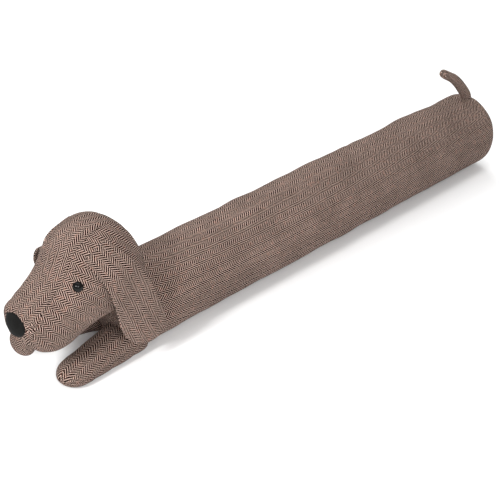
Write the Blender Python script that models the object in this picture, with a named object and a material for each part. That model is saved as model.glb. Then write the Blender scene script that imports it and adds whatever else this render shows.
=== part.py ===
"""Draught excluder sewn as a long lying dog.

One filled cloth tube carries a stuffed head, two draped ears, two front paws and a
curled tail. Metres, +Z up. The dog faces -X and its left side is -Y. It lies on z = 0.
Everything is laid out first from the tip of the muzzle, then the whole part is moved so
that its origin is the bottom centre of its box.
"""
import math
from typing import NamedTuple

import bmesh
import bpy
from mathutils import Vector

# Clearances between pieces
SEWN_GAP = 0.0003
DRAPE_CLEARANCE = 0.0024

# Body tube
BODY_HALF_WIDTH = 0.0570
BODY_HEIGHT = 0.1150
BODY_SAG = 0.0025
BODY_FRONT = 0.1260
BODY_REAR = 0.8640
BODY_FRONT_ROUND = 0.0320
BODY_FRONT_SQUASH = 0.6
BODY_SQUASH_LENGTH = 0.0500
BODY_REAR_ROUND = 0.0130
BODY_END_CROWN = 0.0040
BODY_END_SHARES = (0.25, 0.5, 0.7)
BODY_ROUND_STEPS = 3
BODY_END_RINGS = len(BODY_END_SHARES) + BODY_ROUND_STEPS
BODY_SIDES = 44
BODY_SPACING = 0.0300

# Head and muzzle
HEAD_SIDES = 40
HEAD_SPACING = 0.0085
HEAD_EVEN_SPACING = 0.55
HEAD_FRONT_CROWN = 0.0008
HEAD_NAPE_CROWN = 0.0010
HEAD_UNDERSIDE_SQUARENESS = 3.6
HEAD_CROWN_SQUARENESS = 2.8

# Chin under the front of the muzzle
CHIN_MIDDLE = (0.0100, 0.0, 0.0755)
CHIN_SIZE = (0.0140, 0.0190, 0.0180)

# Nose pad and eyes
NOSE_MIDDLE = (0.0065, 0.0, 0.1035)
NOSE_SIZE = (0.0140, 0.0225, 0.0185)
NOSE_TAPER = 0.2
NOSE_LEAN_DEG = 12.0
EYE_ALONG = 0.0700
EYE_UP = 0.1445
EYE_RADIUS = 0.0062
EYE_SUNK = 0.0022
BEAD_SEGMENTS = 20
BEAD_RINGS = 12

# Ears
EAR_THICKNESS = 0.0046
EAR_EDGE_THICKNESS = 0.0030
EAR_ROWS = 15
EAR_COLUMNS = 9
EAR_BACK_FLARE = 0.0040
EAR_EASING_PASSES = 6
EAR_SWING_RATE = 2.5
EAR_SWELL_POWER = 0.7
DRAPE_SLOPE_STEP = 0.002
DRAPE_STEEPEST_UP = 2.0
DRAPE_STEEPEST_ALONG = 1.0

# Front paws
PAW_TIP_HEIGHT = 0.0290
PAW_SAG = 0.0025
PAW_SIDES = 24
PAW_TIP_TURNS_DEG = (78, 62, 45, 28, 12)
PAW_LENGTH_SHARES = (0.0, 0.25, 0.5, 0.75, 1.0)

# Tail
TAIL_RADIUS = 0.0090
TAIL_TIP_RADIUS = 0.0072
TAIL_SIDES = 16
TAIL_RINGS = 15
TAIL_TIP_TURNS_DEG = (35, 60, 80)


class PawShape(NamedTuple):
    """One front paw: the middle of its round tip, the end of its root and its size at both."""

    tip: tuple
    root: tuple
    tip_half_width: float
    root_half_width: float
    root_height: float


LEFT_PAW = PawShape(
    tip=(0.0615, -0.0240),
    root=(0.1600, -0.0165),
    tip_half_width=0.0245,
    root_half_width=0.0310,
    root_height=0.0470,
)
RIGHT_PAW = PawShape(
    tip=(0.0810, 0.0740),
    root=(0.1600, 0.0480),
    tip_half_width=0.0240,
    root_half_width=0.0250,
    root_height=0.0310,
)


class HeadSection(NamedTuple):
    """One cross section of the head, seen from the front, at a distance behind the muzzle's tip."""

    along: float
    underside: float
    widest: float
    crown: float
    half_width: float


HEAD_SECTIONS = (
    HeadSection(along=0.0005, underside=0.0890, widest=0.1010, crown=0.1140, half_width=0.0170),
    HeadSection(along=0.0030, underside=0.0815, widest=0.0985, crown=0.1190, half_width=0.0265),
    HeadSection(along=0.0090, underside=0.0735, widest=0.0965, crown=0.1230, half_width=0.0325),
    HeadSection(along=0.0200, underside=0.0655, widest=0.0960, crown=0.1283, half_width=0.0372),
    HeadSection(along=0.0350, underside=0.0610, widest=0.0960, crown=0.1370, half_width=0.0408),
    HeadSection(along=0.0500, underside=0.0632, widest=0.0985, crown=0.1500, half_width=0.0433),
    HeadSection(along=0.0625, underside=0.0690, widest=0.1025, crown=0.1662, half_width=0.0453),
    HeadSection(along=0.0750, underside=0.0762, widest=0.1070, crown=0.1838, half_width=0.0473),
    HeadSection(along=0.0875, underside=0.0813, widest=0.1100, crown=0.1942, half_width=0.0492),
    HeadSection(along=0.1000, underside=0.0838, widest=0.1130, crown=0.1970, half_width=0.0507),
    HeadSection(along=0.1150, underside=0.0845, widest=0.1145, crown=0.1990, half_width=0.0517),
    HeadSection(along=0.1300, underside=0.0845, widest=0.1150, crown=0.1980, half_width=0.0512),
    HeadSection(along=0.1450, underside=0.0850, widest=0.1140, crown=0.1918, half_width=0.0482),
    HeadSection(along=0.1580, underside=0.0860, widest=0.1130, crown=0.1795, half_width=0.0428),
    HeadSection(along=0.1690, underside=0.0880, widest=0.1115, crown=0.1620, half_width=0.0342),
    HeadSection(along=0.1770, underside=0.0920, widest=0.1095, crown=0.1415, half_width=0.0225),
    HeadSection(along=0.1820, underside=0.0980, widest=0.1080, crown=0.1190, half_width=0.0090),
)


class EarRow(NamedTuple):
    """A line across the ear from its front edge to its back edge, in the side view."""

    front_along: float
    front_up: float
    back_along: float
    back_up: float


EAR_SHAPE = (
    EarRow(front_along=0.0820, front_up=0.1750, back_along=0.1140, back_up=0.1895),
    EarRow(front_along=0.0830, front_up=0.1680, back_along=0.1250, back_up=0.1760),
    EarRow(front_along=0.0870, front_up=0.1570, back_along=0.1365, back_up=0.1620),
    EarRow(front_along=0.0930, front_up=0.1440, back_along=0.1480, back_up=0.1440),
    EarRow(front_along=0.0985, front_up=0.1290, back_along=0.1580, back_up=0.1240),
    EarRow(front_along=0.1030, front_up=0.1110, back_along=0.1650, back_up=0.1050),
    EarRow(front_along=0.1070, front_up=0.0920, back_along=0.1700, back_up=0.0870),
    EarRow(front_along=0.1100, front_up=0.0730, back_along=0.1740, back_up=0.0700),
    EarRow(front_along=0.1165, front_up=0.0560, back_along=0.1765, back_up=0.0545),
    EarRow(front_along=0.1260, front_up=0.0445, back_along=0.1725, back_up=0.0430),
    EarRow(front_along=0.1370, front_up=0.0380, back_along=0.1640, back_up=0.0375),
    EarRow(front_along=0.1460, front_up=0.0350, back_along=0.1560, back_up=0.0350),
)


class EarHang(NamedTuple):
    """How one ear differs from the plain shape: swung forward, held off the head, tip drawn up."""

    side: int
    forward: float
    flare: float
    lift: float


LEFT_EAR = EarHang(side=-1, forward=0.0, flare=0.0, lift=0.0)
RIGHT_EAR = EarHang(side=1, forward=0.0210, flare=0.0090, lift=0.0140)


class SoftDent(NamedTuple):
    """A shallow hollow, or a swelling where negative, in the filled tube: its place and its size."""

    along: float
    round_deg: float
    depth: float
    length: float
    spread_deg: float


BODY_DENTS = (
    SoftDent(along=0.1700, round_deg=75.0, depth=0.0045, length=0.0350, spread_deg=60.0),
    SoftDent(along=0.2450, round_deg=70.0, depth=0.0012, length=0.0300, spread_deg=60.0),
    SoftDent(along=0.3900, round_deg=120.0, depth=0.0010, length=0.0500, spread_deg=45.0),
    SoftDent(along=0.5350, round_deg=75.0, depth=-0.0012, length=0.0300, spread_deg=60.0),
    SoftDent(along=0.6300, round_deg=150.0, depth=0.0010, length=0.0220, spread_deg=40.0),
    SoftDent(along=0.7250, round_deg=75.0, depth=-0.0024, length=0.0350, spread_deg=60.0),
    SoftDent(along=0.8050, round_deg=65.0, depth=0.0024, length=0.0300, spread_deg=50.0),
)

TAIL_PATH = (
    Vector((0.8480, 0.0, 0.1020)),
    Vector((0.8455, 0.0, 0.1170)),
    Vector((0.8360, 0.0, 0.1300)),
    Vector((0.8235, 0.0, 0.1440)),
    Vector((0.8090, 0.0, 0.1570)),
    Vector((0.7940, 0.0, 0.1665)),
    Vector((0.7840, 0.0, 0.1728)),
)


class Finish(NamedTuple):
    """Colour and roughness of one material."""

    red: float
    green: float
    blue: float
    roughness: float


TWEED = Finish(red=0.185, green=0.115, blue=0.095, roughness=0.92)
NOSE_CLOTH = Finish(red=0.024, green=0.026, blue=0.024, roughness=0.80)
EYE_BEAD = Finish(red=0.006, green=0.006, blue=0.006, roughness=0.08)


def clear_scene() -> None:
    """Remove every object that the file opened with."""
    for obj in list(bpy.data.objects):
        bpy.data.objects.remove(obj, do_unlink=True)


def make_material(name: str, finish: Finish) -> bpy.types.Material:
    """Return a new material with the finish on its Principled shader."""
    material = bpy.data.materials.new(name)
    material.use_nodes = True
    shader = material.node_tree.nodes["Principled BSDF"]
    shader.inputs["Base Color"].default_value = (finish.red, finish.green, finish.blue, 1.0)
    shader.inputs["Roughness"].default_value = finish.roughness
    shader.inputs["Metallic"].default_value = 0.0
    return material


def finish_object(bm: bmesh.types.BMesh, name: str, finish: Finish) -> bpy.types.Object:
    """Turn a closed bmesh into a smooth-shaded object with its own material."""
    bmesh.ops.recalc_face_normals(bm, faces=bm.faces)
    mesh = bpy.data.meshes.new(name)
    bm.to_mesh(mesh)
    bm.free()
    mesh.shade_smooth()
    obj = bpy.data.objects.new(name, mesh)
    obj.data.materials.append(make_material(name + "_finish", finish))
    bpy.context.scene.collection.objects.link(obj)
    return obj


def as_cutter(obj: bpy.types.Object) -> bpy.types.Object:
    """Keep an object as a cutting tool only."""
    obj.hide_render = True
    obj.display_type = "WIRE"
    return obj


def cut_with(obj: bpy.types.Object, cutter: bpy.types.Object) -> None:
    """Take the cutter's volume out of an object."""
    cut = obj.modifiers.new("clear_" + cutter.name, "BOOLEAN")
    cut.operation = "DIFFERENCE"
    cut.solver = "EXACT"
    cut.object = cutter


def loft(rings: list, first_pole: Vector, last_pole: Vector) -> bmesh.types.BMesh:
    """Skin equal rings of points and close both ends on a point.

    Args:
        rings: Lists of points, each going round the same way from the same side.
        first_pole: The point that closes the first ring.
        last_pole: The point that closes the last ring.

    Returns:
        A closed bmesh.
    """
    bm = bmesh.new()
    loops = [[bm.verts.new(point) for point in ring] for ring in rings]
    count = len(loops[0])
    for near, far in zip(loops, loops[1:]):
        for i in range(count):
            j = (i + 1) % count
            bm.faces.new((near[i], near[j], far[j], far[i]))
    for loop, pole in ((loops[0], first_pole), (loops[-1], last_pole)):
        centre = bm.verts.new(pole)
        for i in range(count):
            bm.faces.new((loop[i], loop[(i + 1) % count], centre))
    return bm


def smooth_between(rows: tuple, key: str, at: float) -> dict:
    """Read a table of named rows as one smooth curve.

    Args:
        rows: Named tuples in rising order of the key.
        key: The column that is known.
        at: The value of that column to read the others at.

    Returns:
        Every column's value there, by name.
    """
    last = len(rows) - 2
    index = 0
    while index < last and getattr(rows[index + 1], key) < at:
        index += 1
    before = rows[max(index - 1, 0)]
    left = rows[index]
    right = rows[index + 1]
    after = rows[min(index + 2, len(rows) - 1)]
    span = getattr(right, key) - getattr(left, key)
    t = min(max((at - getattr(left, key)) / span, 0.0), 1.0)
    values = {}
    for column in left._fields:
        a = getattr(left, column)
        b = getattr(right, column)
        slope_a = span * (b - getattr(before, column)) / (getattr(right, key) - getattr(before, key))
        slope_b = span * (getattr(after, column) - a) / (getattr(after, key) - getattr(left, key))
        rise = (2 * t**3 - 3 * t**2 + 1) * a + (t**3 - 2 * t**2 + t) * slope_a
        values[column] = rise + (3 * t**2 - 2 * t**3) * b + (t**3 - t**2) * slope_b
    return values


def filled_ring(half_width: float, height: float, sag: float, size: float, sides: int, squash: float) -> list:
    """Points (across, up) of a filled tube's section that lies flat on the floor.

    Args:
        half_width: Half the tube's width.
        height: The tube's height from the floor.
        sag: How far the round section would reach below the floor.
        size: Share of the full section, for the rounded ends.
        sides: How many points go round.
        squash: How square the lower half is pressed, 0 for a plain round.

    Returns:
        The points, counter-clockwise seen from +X.
    """
    middle = height / 2
    points = []
    for i in range(sides):
        angle = 2 * math.pi * i / sides
        above = math.sin(angle) > 0
        power = 1.0 if above else 2 / (2 + squash)
        reach = middle if above else middle + sag
        across = half_width * size * math.copysign(abs(math.cos(angle)) ** power, math.cos(angle))
        up = middle + reach * size * math.copysign(abs(math.sin(angle)) ** power, math.sin(angle))
        points.append((across, max(up, 0.0)))
    return points


def end_profile(rounding: float, steps: int) -> list:
    """Steps (inset along, inset of the radius) of a quarter-round edge, from the face outwards."""
    angles = [math.pi / 2 * (i + 0.5) / steps for i in range(steps)]
    return [(rounding * (1 - math.sin(a)), rounding * (1 - math.cos(a))) for a in angles]


def body_stations() -> list:
    """Places (along, share of the full section) of the body's rings, front to rear."""
    radius = BODY_HEIGHT / 2
    stations = []
    for share in BODY_END_SHARES:
        stations.append((BODY_FRONT - BODY_END_CROWN * (1 - share**2), share * (1 - BODY_FRONT_ROUND / radius)))
    for back, inset in reversed(end_profile(BODY_FRONT_ROUND, BODY_ROUND_STEPS)):
        stations.append((BODY_FRONT + back, 1 - inset / radius))
    first = BODY_FRONT + BODY_FRONT_ROUND
    last = BODY_REAR - BODY_REAR_ROUND
    count = round((last - first) / BODY_SPACING)
    for i in range(count + 1):
        stations.append((first + (last - first) * i / count, 1.0))
    for back, inset in end_profile(BODY_REAR_ROUND, BODY_ROUND_STEPS):
        stations.append((BODY_REAR - back, 1 - inset / radius))
    for share in reversed(BODY_END_SHARES):
        stations.append((BODY_REAR + BODY_END_CROWN * (1 - share**2), share * (1 - BODY_REAR_ROUND / radius)))
    return stations


def dent_depth(along: float, across: float, up: float) -> float:
    """How far the filled tube is pushed in at a point of its surface."""
    round_deg = math.degrees(math.atan2(up - BODY_HEIGHT / 2, across))
    depth = 0.0
    for dent in BODY_DENTS:
        off_along = (along - dent.along) / dent.length
        off_round = (round_deg - dent.round_deg) / dent.spread_deg
        depth += dent.depth * math.exp(-(off_along**2) - off_round**2)
    return depth


def build_body(name: str, finish: Finish, grow: float) -> bpy.types.Object:
    """The filled tube, or a copy of it that is larger all round, for clearances."""
    rings = []
    middle = BODY_HEIGHT / 2
    for along, size in body_stations():
        ring = []
        pressed = BODY_FRONT_SQUASH * max(0.0, 1 - (along - BODY_FRONT) / BODY_SQUASH_LENGTH)
        for across, up in filled_ring(BODY_HALF_WIDTH, BODY_HEIGHT, BODY_SAG, size, BODY_SIDES, pressed):
            outward = Vector((across, up - middle))
            if up > BODY_SAG:
                outward -= outward.normalized() * dent_depth(along, across, up) * size
            outward += outward.normalized() * grow
            ring.append(Vector((along, outward.x, middle + outward.y)))
        rings.append(ring)
    front = Vector((BODY_FRONT - BODY_END_CROWN - grow, 0.0, middle))
    rear = Vector((BODY_REAR + BODY_END_CROWN + grow, 0.0, middle))
    for ring in rings[:BODY_END_RINGS]:
        for point in ring:
            point.x -= grow
    for ring in rings[-BODY_END_RINGS:]:
        for point in ring:
            point.x += grow
    return finish_object(loft(rings, front, rear), name, finish)


def head_ring(along: float, grow: float) -> list:
    """One ring of the head, round its section at a distance behind the muzzle's tip."""
    section = smooth_between(HEAD_SECTIONS, "along", along)
    ring = []
    for i in range(HEAD_SIDES):
        angle = 2 * math.pi * i / HEAD_SIDES
        above = math.sin(angle) > 0
        power = 2 / (HEAD_CROWN_SQUARENESS if above else HEAD_UNDERSIDE_SQUARENESS)
        reach = section["crown"] - section["widest"] if above else section["widest"] - section["underside"]
        across = (section["half_width"] + grow) * math.copysign(abs(math.cos(angle)) ** power, math.cos(angle))
        up = (reach + grow) * math.copysign(abs(math.sin(angle)) ** power, math.sin(angle))
        lengthwise = grow * (2 * along / HEAD_SECTIONS[-1].along - 1)
        ring.append(Vector((along + lengthwise, across, section["widest"] + up)))
    return ring


def head_half_width(along: float, up: float) -> float:
    """Half the head's width at a point of its side view, or zero outside it."""
    if not HEAD_SECTIONS[0].along < along < HEAD_SECTIONS[-1].along:
        return 0.0
    section = smooth_between(HEAD_SECTIONS, "along", along)
    if up > section["widest"]:
        share = (up - section["widest"]) / (section["crown"] - section["widest"])
        power = HEAD_CROWN_SQUARENESS
    else:
        share = (section["widest"] - up) / (section["widest"] - section["underside"])
        power = HEAD_UNDERSIDE_SQUARENESS
    if share >= 1.0:
        return 0.0
    return section["half_width"] * (1 - share**power) ** (1 / power)


def body_half_width(along: float, up: float) -> float:
    """Half the body's width at a height, or zero outside it."""
    if not BODY_FRONT < along < BODY_REAR:
        return 0.0
    middle = BODY_HEIGHT / 2
    share = (up - middle) / (middle if up > middle else middle + BODY_SAG)
    if abs(share) >= 1.0:
        return 0.0
    return BODY_HALF_WIDTH * math.sqrt(1 - share**2)


def head_stations() -> list:
    """Distances of the head's rings behind the muzzle's tip, closer at both ends."""
    first = HEAD_SECTIONS[0].along
    last = HEAD_SECTIONS[-1].along
    count = round((last - first) / HEAD_SPACING)
    stations = []
    for i in range(count + 1):
        turn = math.pi * i / count
        even = i / count
        eased = (1 - math.cos(turn)) / 2
        stations.append(first + (last - first) * (HEAD_EVEN_SPACING * even + (1 - HEAD_EVEN_SPACING) * eased))
    return stations


def build_head(name: str, finish: Finish, grow: float) -> bpy.types.Object:
    """The stuffed head from muzzle to nape, before the body is cut out of it."""
    rings = [head_ring(along, grow) for along in head_stations()]
    front = Vector((HEAD_SECTIONS[0].along - HEAD_FRONT_CROWN - grow, 0.0, HEAD_SECTIONS[0].widest))
    nape = Vector((HEAD_SECTIONS[-1].along + HEAD_NAPE_CROWN + grow, 0.0, HEAD_SECTIONS[-1].widest))
    return finish_object(loft(rings, front, nape), name, finish)


def build_bead(
    name: str, finish: Finish, middle: tuple, size: tuple, lean_deg: float = 0.0, taper: float = 0.0
) -> bpy.types.Object:
    """An egg-shaped solid of three half sizes, leaning back about the Y axis, wider at its top by its taper."""
    bm = bmesh.new()
    bmesh.ops.create_uvsphere(bm, u_segments=BEAD_SEGMENTS, v_segments=BEAD_RINGS, radius=1.0)
    for vertex in bm.verts:
        vertex.co.y *= 1 + taper * vertex.co.z
    bmesh.ops.scale(bm, verts=bm.verts, vec=size)
    obj = finish_object(bm, name, finish)
    obj.location = middle
    obj.rotation_euler = (0.0, math.radians(lean_deg), 0.0)
    return obj


def drape_distance(along: float, up: float, off: float) -> float:
    """How far from the middle plane a layer lies that hangs off the surface of head and body."""
    step = DRAPE_SLOPE_STEP
    width = max(head_half_width(along, up), body_half_width(along, up))
    slope_up = (head_half_width(along, up + step) - head_half_width(along, up - step)) / (2 * step)
    slope_along = (head_half_width(along + step, up) - head_half_width(along - step, up)) / (2 * step)
    lean = math.sqrt(1 + min(slope_up**2, DRAPE_STEEPEST_UP**2) + min(slope_along**2, DRAPE_STEEPEST_ALONG**2))
    return width + off * lean


def ear_point(i: int, j: int, hang: EarHang) -> tuple:
    """Place (along, up) in the side view of one point of the ear's grid."""
    place = (len(EAR_SHAPE) - 1) * i / (EAR_ROWS - 1)
    index = min(int(place), len(EAR_SHAPE) - 2)
    share = place - index
    upper = EAR_SHAPE[index]
    lower = EAR_SHAPE[index + 1]
    front_along = upper.front_along + (lower.front_along - upper.front_along) * share
    front_up = upper.front_up + (lower.front_up - upper.front_up) * share
    back_along = upper.back_along + (lower.back_along - upper.back_along) * share
    back_up = upper.back_up + (lower.back_up - upper.back_up) * share
    t = j / (EAR_COLUMNS - 1)
    down = i / (EAR_ROWS - 1)
    along = front_along + (back_along - front_along) * t - hang.forward * min(EAR_SWING_RATE * down, 1.0)
    return along, front_up + (back_up - front_up) * t + hang.lift * down**2


def ear_grid(hang: EarHang) -> list:
    """Middle layer of the ear as rows of points, from the sewn edge down to its tip.

    Each column hangs straight down from the widest place above it, and the whole flap is
    then eased until it bridges hollows as cloth does, never closer than its clearance.
    """
    least = []
    for i in range(EAR_ROWS):
        row = []
        for j in range(EAR_COLUMNS):
            along, up = ear_point(i, j, hang)
            if i == 0:
                away = drape_distance(along, up, SEWN_GAP + EAR_EDGE_THICKNESS / 2)
            else:
                away = drape_distance(along, up, DRAPE_CLEARANCE + EAR_THICKNESS / 2)
                away = max(away, least[-1][j])
            row.append(away)
        least.append(row)
    away = [list(row) for row in least]
    for _ in range(EAR_EASING_PASSES):
        before = [list(row) for row in away]
        for i in range(1, EAR_ROWS):
            for j in range(EAR_COLUMNS):
                below = before[min(i + 1, EAR_ROWS - 1)][j]
                left = before[i][max(j - 1, 0)]
                right = before[i][min(j + 1, EAR_COLUMNS - 1)]
                away[i][j] = max(least[i][j], (before[i - 1][j] + below + left + right) / 4)
    rows = []
    for i in range(EAR_ROWS):
        row = []
        for j in range(EAR_COLUMNS):
            along, up = ear_point(i, j, hang)
            t = j / (EAR_COLUMNS - 1)
            swell = math.sin(math.pi * (i / (EAR_ROWS - 1)) ** EAR_SWELL_POWER)
            flare = (EAR_BACK_FLARE * t**2 + hang.flare * (1 - t)) * swell
            row.append(Vector((along, away[i][j] + flare, up)))
        rows.append(row)
    return rows


def build_ear(name: str, finish: Finish, hang: EarHang) -> bpy.types.Object:
    """A turned double-cloth flap that hangs over the head and the body's side."""
    grid = ear_grid(hang)
    bm = bmesh.new()
    layers = []
    for face in (-1, 1):
        layer = []
        for i, row in enumerate(grid):
            line = []
            for j, point in enumerate(row):
                down = grid[min(i + 1, EAR_ROWS - 1)][j] - grid[max(i - 1, 0)][j]
                over = row[min(j + 1, EAR_COLUMNS - 1)] - row[max(j - 1, 0)]
                normal = over.cross(down).normalized()
                if normal.y < 0:
                    normal.negate()
                rim = i in (0, EAR_ROWS - 1) or j in (0, EAR_COLUMNS - 1)
                half = (EAR_EDGE_THICKNESS if rim else EAR_THICKNESS) / 2
                place = point + normal * half * face
                line.append(bm.verts.new((place.x, place.y * hang.side, place.z)))
            layer.append(line)
        layers.append(layer)
    for layer in layers:
        for upper, lower in zip(layer, layer[1:]):
            for j in range(EAR_COLUMNS - 1):
                bm.faces.new((upper[j], upper[j + 1], lower[j + 1], lower[j]))
    rims = []
    for layer in layers:
        right = [line[-1] for line in layer[1:]]
        left = [line[0] for line in reversed(layer[:-1])]
        rims.append(layer[0] + right + list(reversed(layer[-1][:-1])) + left[:-1])
    inner, outer = rims
    for k in range(len(inner)):
        m = (k + 1) % len(inner)
        bm.faces.new((inner[k], inner[m], outer[m], outer[k]))
    return finish_object(bm, name, finish)


def build_paw(name: str, finish: Finish, shape: PawShape) -> bpy.types.Object:
    """A stuffed front paw that lies on the floor, with a round tip, before the body is cut out of it."""
    start = Vector((shape.tip[0], shape.tip[1], 0.0))
    line = Vector((shape.root[0], shape.root[1], 0.0)) - start
    forward = -line.normalized()
    across = Vector((-forward.y, forward.x, 0.0))
    places = []
    for angle in PAW_TIP_TURNS_DEG:
        turn = math.radians(angle)
        places.append((start + forward * shape.tip_half_width * math.sin(turn), math.cos(turn), 0.0))
    for share in PAW_LENGTH_SHARES:
        places.append((start + line * share, 1.0, share))
    rings = []
    for centre, size, share in places:
        half_width = shape.tip_half_width + (shape.root_half_width - shape.tip_half_width) * share
        height = PAW_TIP_HEIGHT + (shape.root_height - PAW_TIP_HEIGHT) * share
        ring = filled_ring(half_width, height, PAW_SAG, size, PAW_SIDES, 0.0)
        rings.append([centre + across * a + Vector((0.0, 0.0, up)) for a, up in ring])
    first_pole = start + forward * shape.tip_half_width + Vector((0.0, 0.0, PAW_TIP_HEIGHT / 2))
    last_pole = start + line + Vector((0.0, 0.0, shape.root_height / 2))
    return finish_object(loft(rings, first_pole, last_pole), name, finish)


def tail_place(share: float) -> tuple:
    """Point and direction of the tail's middle line at a share of its path."""
    last = len(TAIL_PATH) - 1
    index = min(int(share * last), last - 1)
    t = share * last - index
    a = TAIL_PATH[max(index - 1, 0)]
    b = TAIL_PATH[index]
    c = TAIL_PATH[index + 1]
    d = TAIL_PATH[min(index + 2, last)]
    point = 0.5 * (2 * b + (c - a) * t + (2 * a - 5 * b + 4 * c - d) * t**2 + (3 * b - a - 3 * c + d) * t**3)
    slope = 0.5 * ((c - a) + 2 * (2 * a - 5 * b + 4 * c - d) * t + 3 * (3 * b - a - 3 * c + d) * t**2)
    return point, slope.normalized()


def build_tail(name: str, finish: Finish) -> bpy.types.Object:
    """A stuffed tail that rises from the rear of the body and curls forward."""
    across = Vector((0.0, 1.0, 0.0))
    places = []
    for i in range(TAIL_RINGS):
        share = i / (TAIL_RINGS - 1)
        point, direction = tail_place(share)
        places.append((point, direction, TAIL_RADIUS + (TAIL_TIP_RADIUS - TAIL_RADIUS) * share))
    end, direction = tail_place(1.0)
    for angle in TAIL_TIP_TURNS_DEG:
        turn = math.radians(angle)
        spot = end + direction * TAIL_TIP_RADIUS * math.sin(turn)
        places.append((spot, direction, TAIL_TIP_RADIUS * math.cos(turn)))
    rings = []
    for point, along, radius in places:
        upward = along.cross(across)
        ring = []
        for k in range(TAIL_SIDES):
            angle = 2 * math.pi * k / TAIL_SIDES
            ring.append(point + across * radius * math.cos(angle) + upward * radius * math.sin(angle))
        rings.append(ring)
    first_pole = tail_place(0.0)[0]
    return finish_object(loft(rings, first_pole, end + direction * TAIL_TIP_RADIUS), name, finish)


def stand_on_origin(objects: list) -> None:
    """Move the part so that its origin is the bottom centre of its box."""
    bpy.context.view_layer.update()
    graph = bpy.context.evaluated_depsgraph_get()
    points = []
    for obj in objects:
        shown = obj.evaluated_get(graph)
        points += [shown.matrix_world @ vertex.co for vertex in shown.data.vertices]
    low = [min(point[i] for point in points) for i in range(3)]
    high = [max(point[i] for point in points) for i in range(3)]
    shift = Vector((-(low[0] + high[0]) / 2, -(low[1] + high[1]) / 2, -low[2]))
    for obj in bpy.data.objects:
        obj.location += shift


def build() -> None:
    """Build every piece and stand the part on its origin."""
    clear_scene()
    body = build_body("body", TWEED, 0.0)
    body_space = as_cutter(build_body("body_space", TWEED, SEWN_GAP))
    head = build_head("head", TWEED, 0.0)
    head_space = as_cutter(build_head("head_space", TWEED, SEWN_GAP))
    chin = as_cutter(build_bead("chin", TWEED, CHIN_MIDDLE, CHIN_SIZE))
    chin_room = tuple(half + SEWN_GAP for half in CHIN_SIZE)
    chin_space = as_cutter(build_bead("chin_space", TWEED, CHIN_MIDDLE, chin_room))
    join = head.modifiers.new("chin", "BOOLEAN")
    join.operation = "UNION"
    join.solver = "EXACT"
    join.object = chin
    cut_with(head, body_space)
    pieces = [body, head]
    nose = build_bead("nose", NOSE_CLOTH, NOSE_MIDDLE, NOSE_SIZE, NOSE_LEAN_DEG, NOSE_TAPER)
    cut_with(nose, head_space)
    cut_with(nose, chin_space)
    pieces.append(nose)
    eye_away = head_half_width(EYE_ALONG, EYE_UP) - EYE_SUNK
    for suffix, hang in (("left", LEFT_EAR), ("right", RIGHT_EAR)):
        eye_middle = (EYE_ALONG, hang.side * eye_away, EYE_UP)
        eye = build_bead("eye_" + suffix, EYE_BEAD, eye_middle, (EYE_RADIUS,) * 3)
        cut_with(eye, head_space)
        pieces.append(eye)
        pieces.append(build_ear("ear_" + suffix, TWEED, hang))
    for suffix, shape in (("left", LEFT_PAW), ("right", RIGHT_PAW)):
        paw = build_paw("paw_" + suffix, TWEED, shape)
        cut_with(paw, body_space)
        pieces.append(paw)
    tail = build_tail("tail", TWEED)
    cut_with(tail, body_space)
    pieces.append(tail)
    stand_on_origin(pieces)


build()
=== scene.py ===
"""Draught excluder sewn as a long lying dog in herringbone tweed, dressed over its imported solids.

Shapes are laid out from the tip of the muzzle: "along" runs back to the tail, "across" to the
dog's right and "up" from the floor. world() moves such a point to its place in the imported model.
Cloth is measured as it was cut: each tweed piece carries its own flat cloth coordinates, so the
weave runs over the stuffed shape as it does on the real panel.
"""

import logging
import math
from dataclasses import dataclass
from enum import Enum
from typing import Callable, ClassVar, NamedTuple, Sequence

import bmesh
import bpy
import numpy as np
from mathutils import Matrix, Vector, noise
from mathutils.bvhtree import BVHTree
from mathutils.kdtree import KDTree

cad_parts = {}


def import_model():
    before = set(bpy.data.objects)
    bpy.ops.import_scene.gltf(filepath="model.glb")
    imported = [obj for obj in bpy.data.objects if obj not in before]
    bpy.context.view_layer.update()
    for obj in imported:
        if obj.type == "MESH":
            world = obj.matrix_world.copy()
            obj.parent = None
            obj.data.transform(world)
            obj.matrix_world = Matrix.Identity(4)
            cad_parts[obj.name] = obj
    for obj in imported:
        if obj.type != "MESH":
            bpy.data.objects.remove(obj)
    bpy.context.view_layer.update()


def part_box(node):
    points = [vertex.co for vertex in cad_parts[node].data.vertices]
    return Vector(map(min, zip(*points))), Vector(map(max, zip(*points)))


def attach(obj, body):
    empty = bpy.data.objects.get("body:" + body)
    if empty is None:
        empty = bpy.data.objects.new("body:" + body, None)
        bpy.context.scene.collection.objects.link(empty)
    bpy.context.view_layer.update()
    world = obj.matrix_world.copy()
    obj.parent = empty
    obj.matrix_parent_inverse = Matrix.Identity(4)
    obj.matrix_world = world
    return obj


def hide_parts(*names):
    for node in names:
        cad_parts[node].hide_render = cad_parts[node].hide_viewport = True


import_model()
LOG = logging.getLogger("draught_excluder")

MM = 0.001
TINY = 1e-9
ROOT = "root"
# From the muzzle's tip to the front of the body's solid
BODY_FRONT_TIP = 0.122
# Names of what each cloth point carries: its flat places on two panels, and how far it is from their seam
MAIN_PANEL = "main_panel"
OTHER_PANEL = "other_panel"
SEAM = "seam"
# Stands for a point that has no seam near it
NO_SEAM = 0.2
FLOOR_ROOM = 0.2 * MM
FLOOR_TOUCH = 0.5 * MM
STITCH_GROOVE = 2.4 * MM
PUCKER_REACH = 9 * MM
PUCKERS_PER_METRE = 190.0
END_SHARES = (0.12, 0.3, 0.5, 0.7, 0.88)

ORIGIN = Vector(
    (
        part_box("body")[0].x - BODY_FRONT_TIP,
        (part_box("eye_left")[0].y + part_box("eye_right")[1].y) / 2,
        0.0,
    )
)


def world(along: float, across: float, up: float) -> Vector:
    """A point laid out from the muzzle's tip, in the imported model's place."""
    return ORIGIN + Vector((along, across, up))


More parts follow.
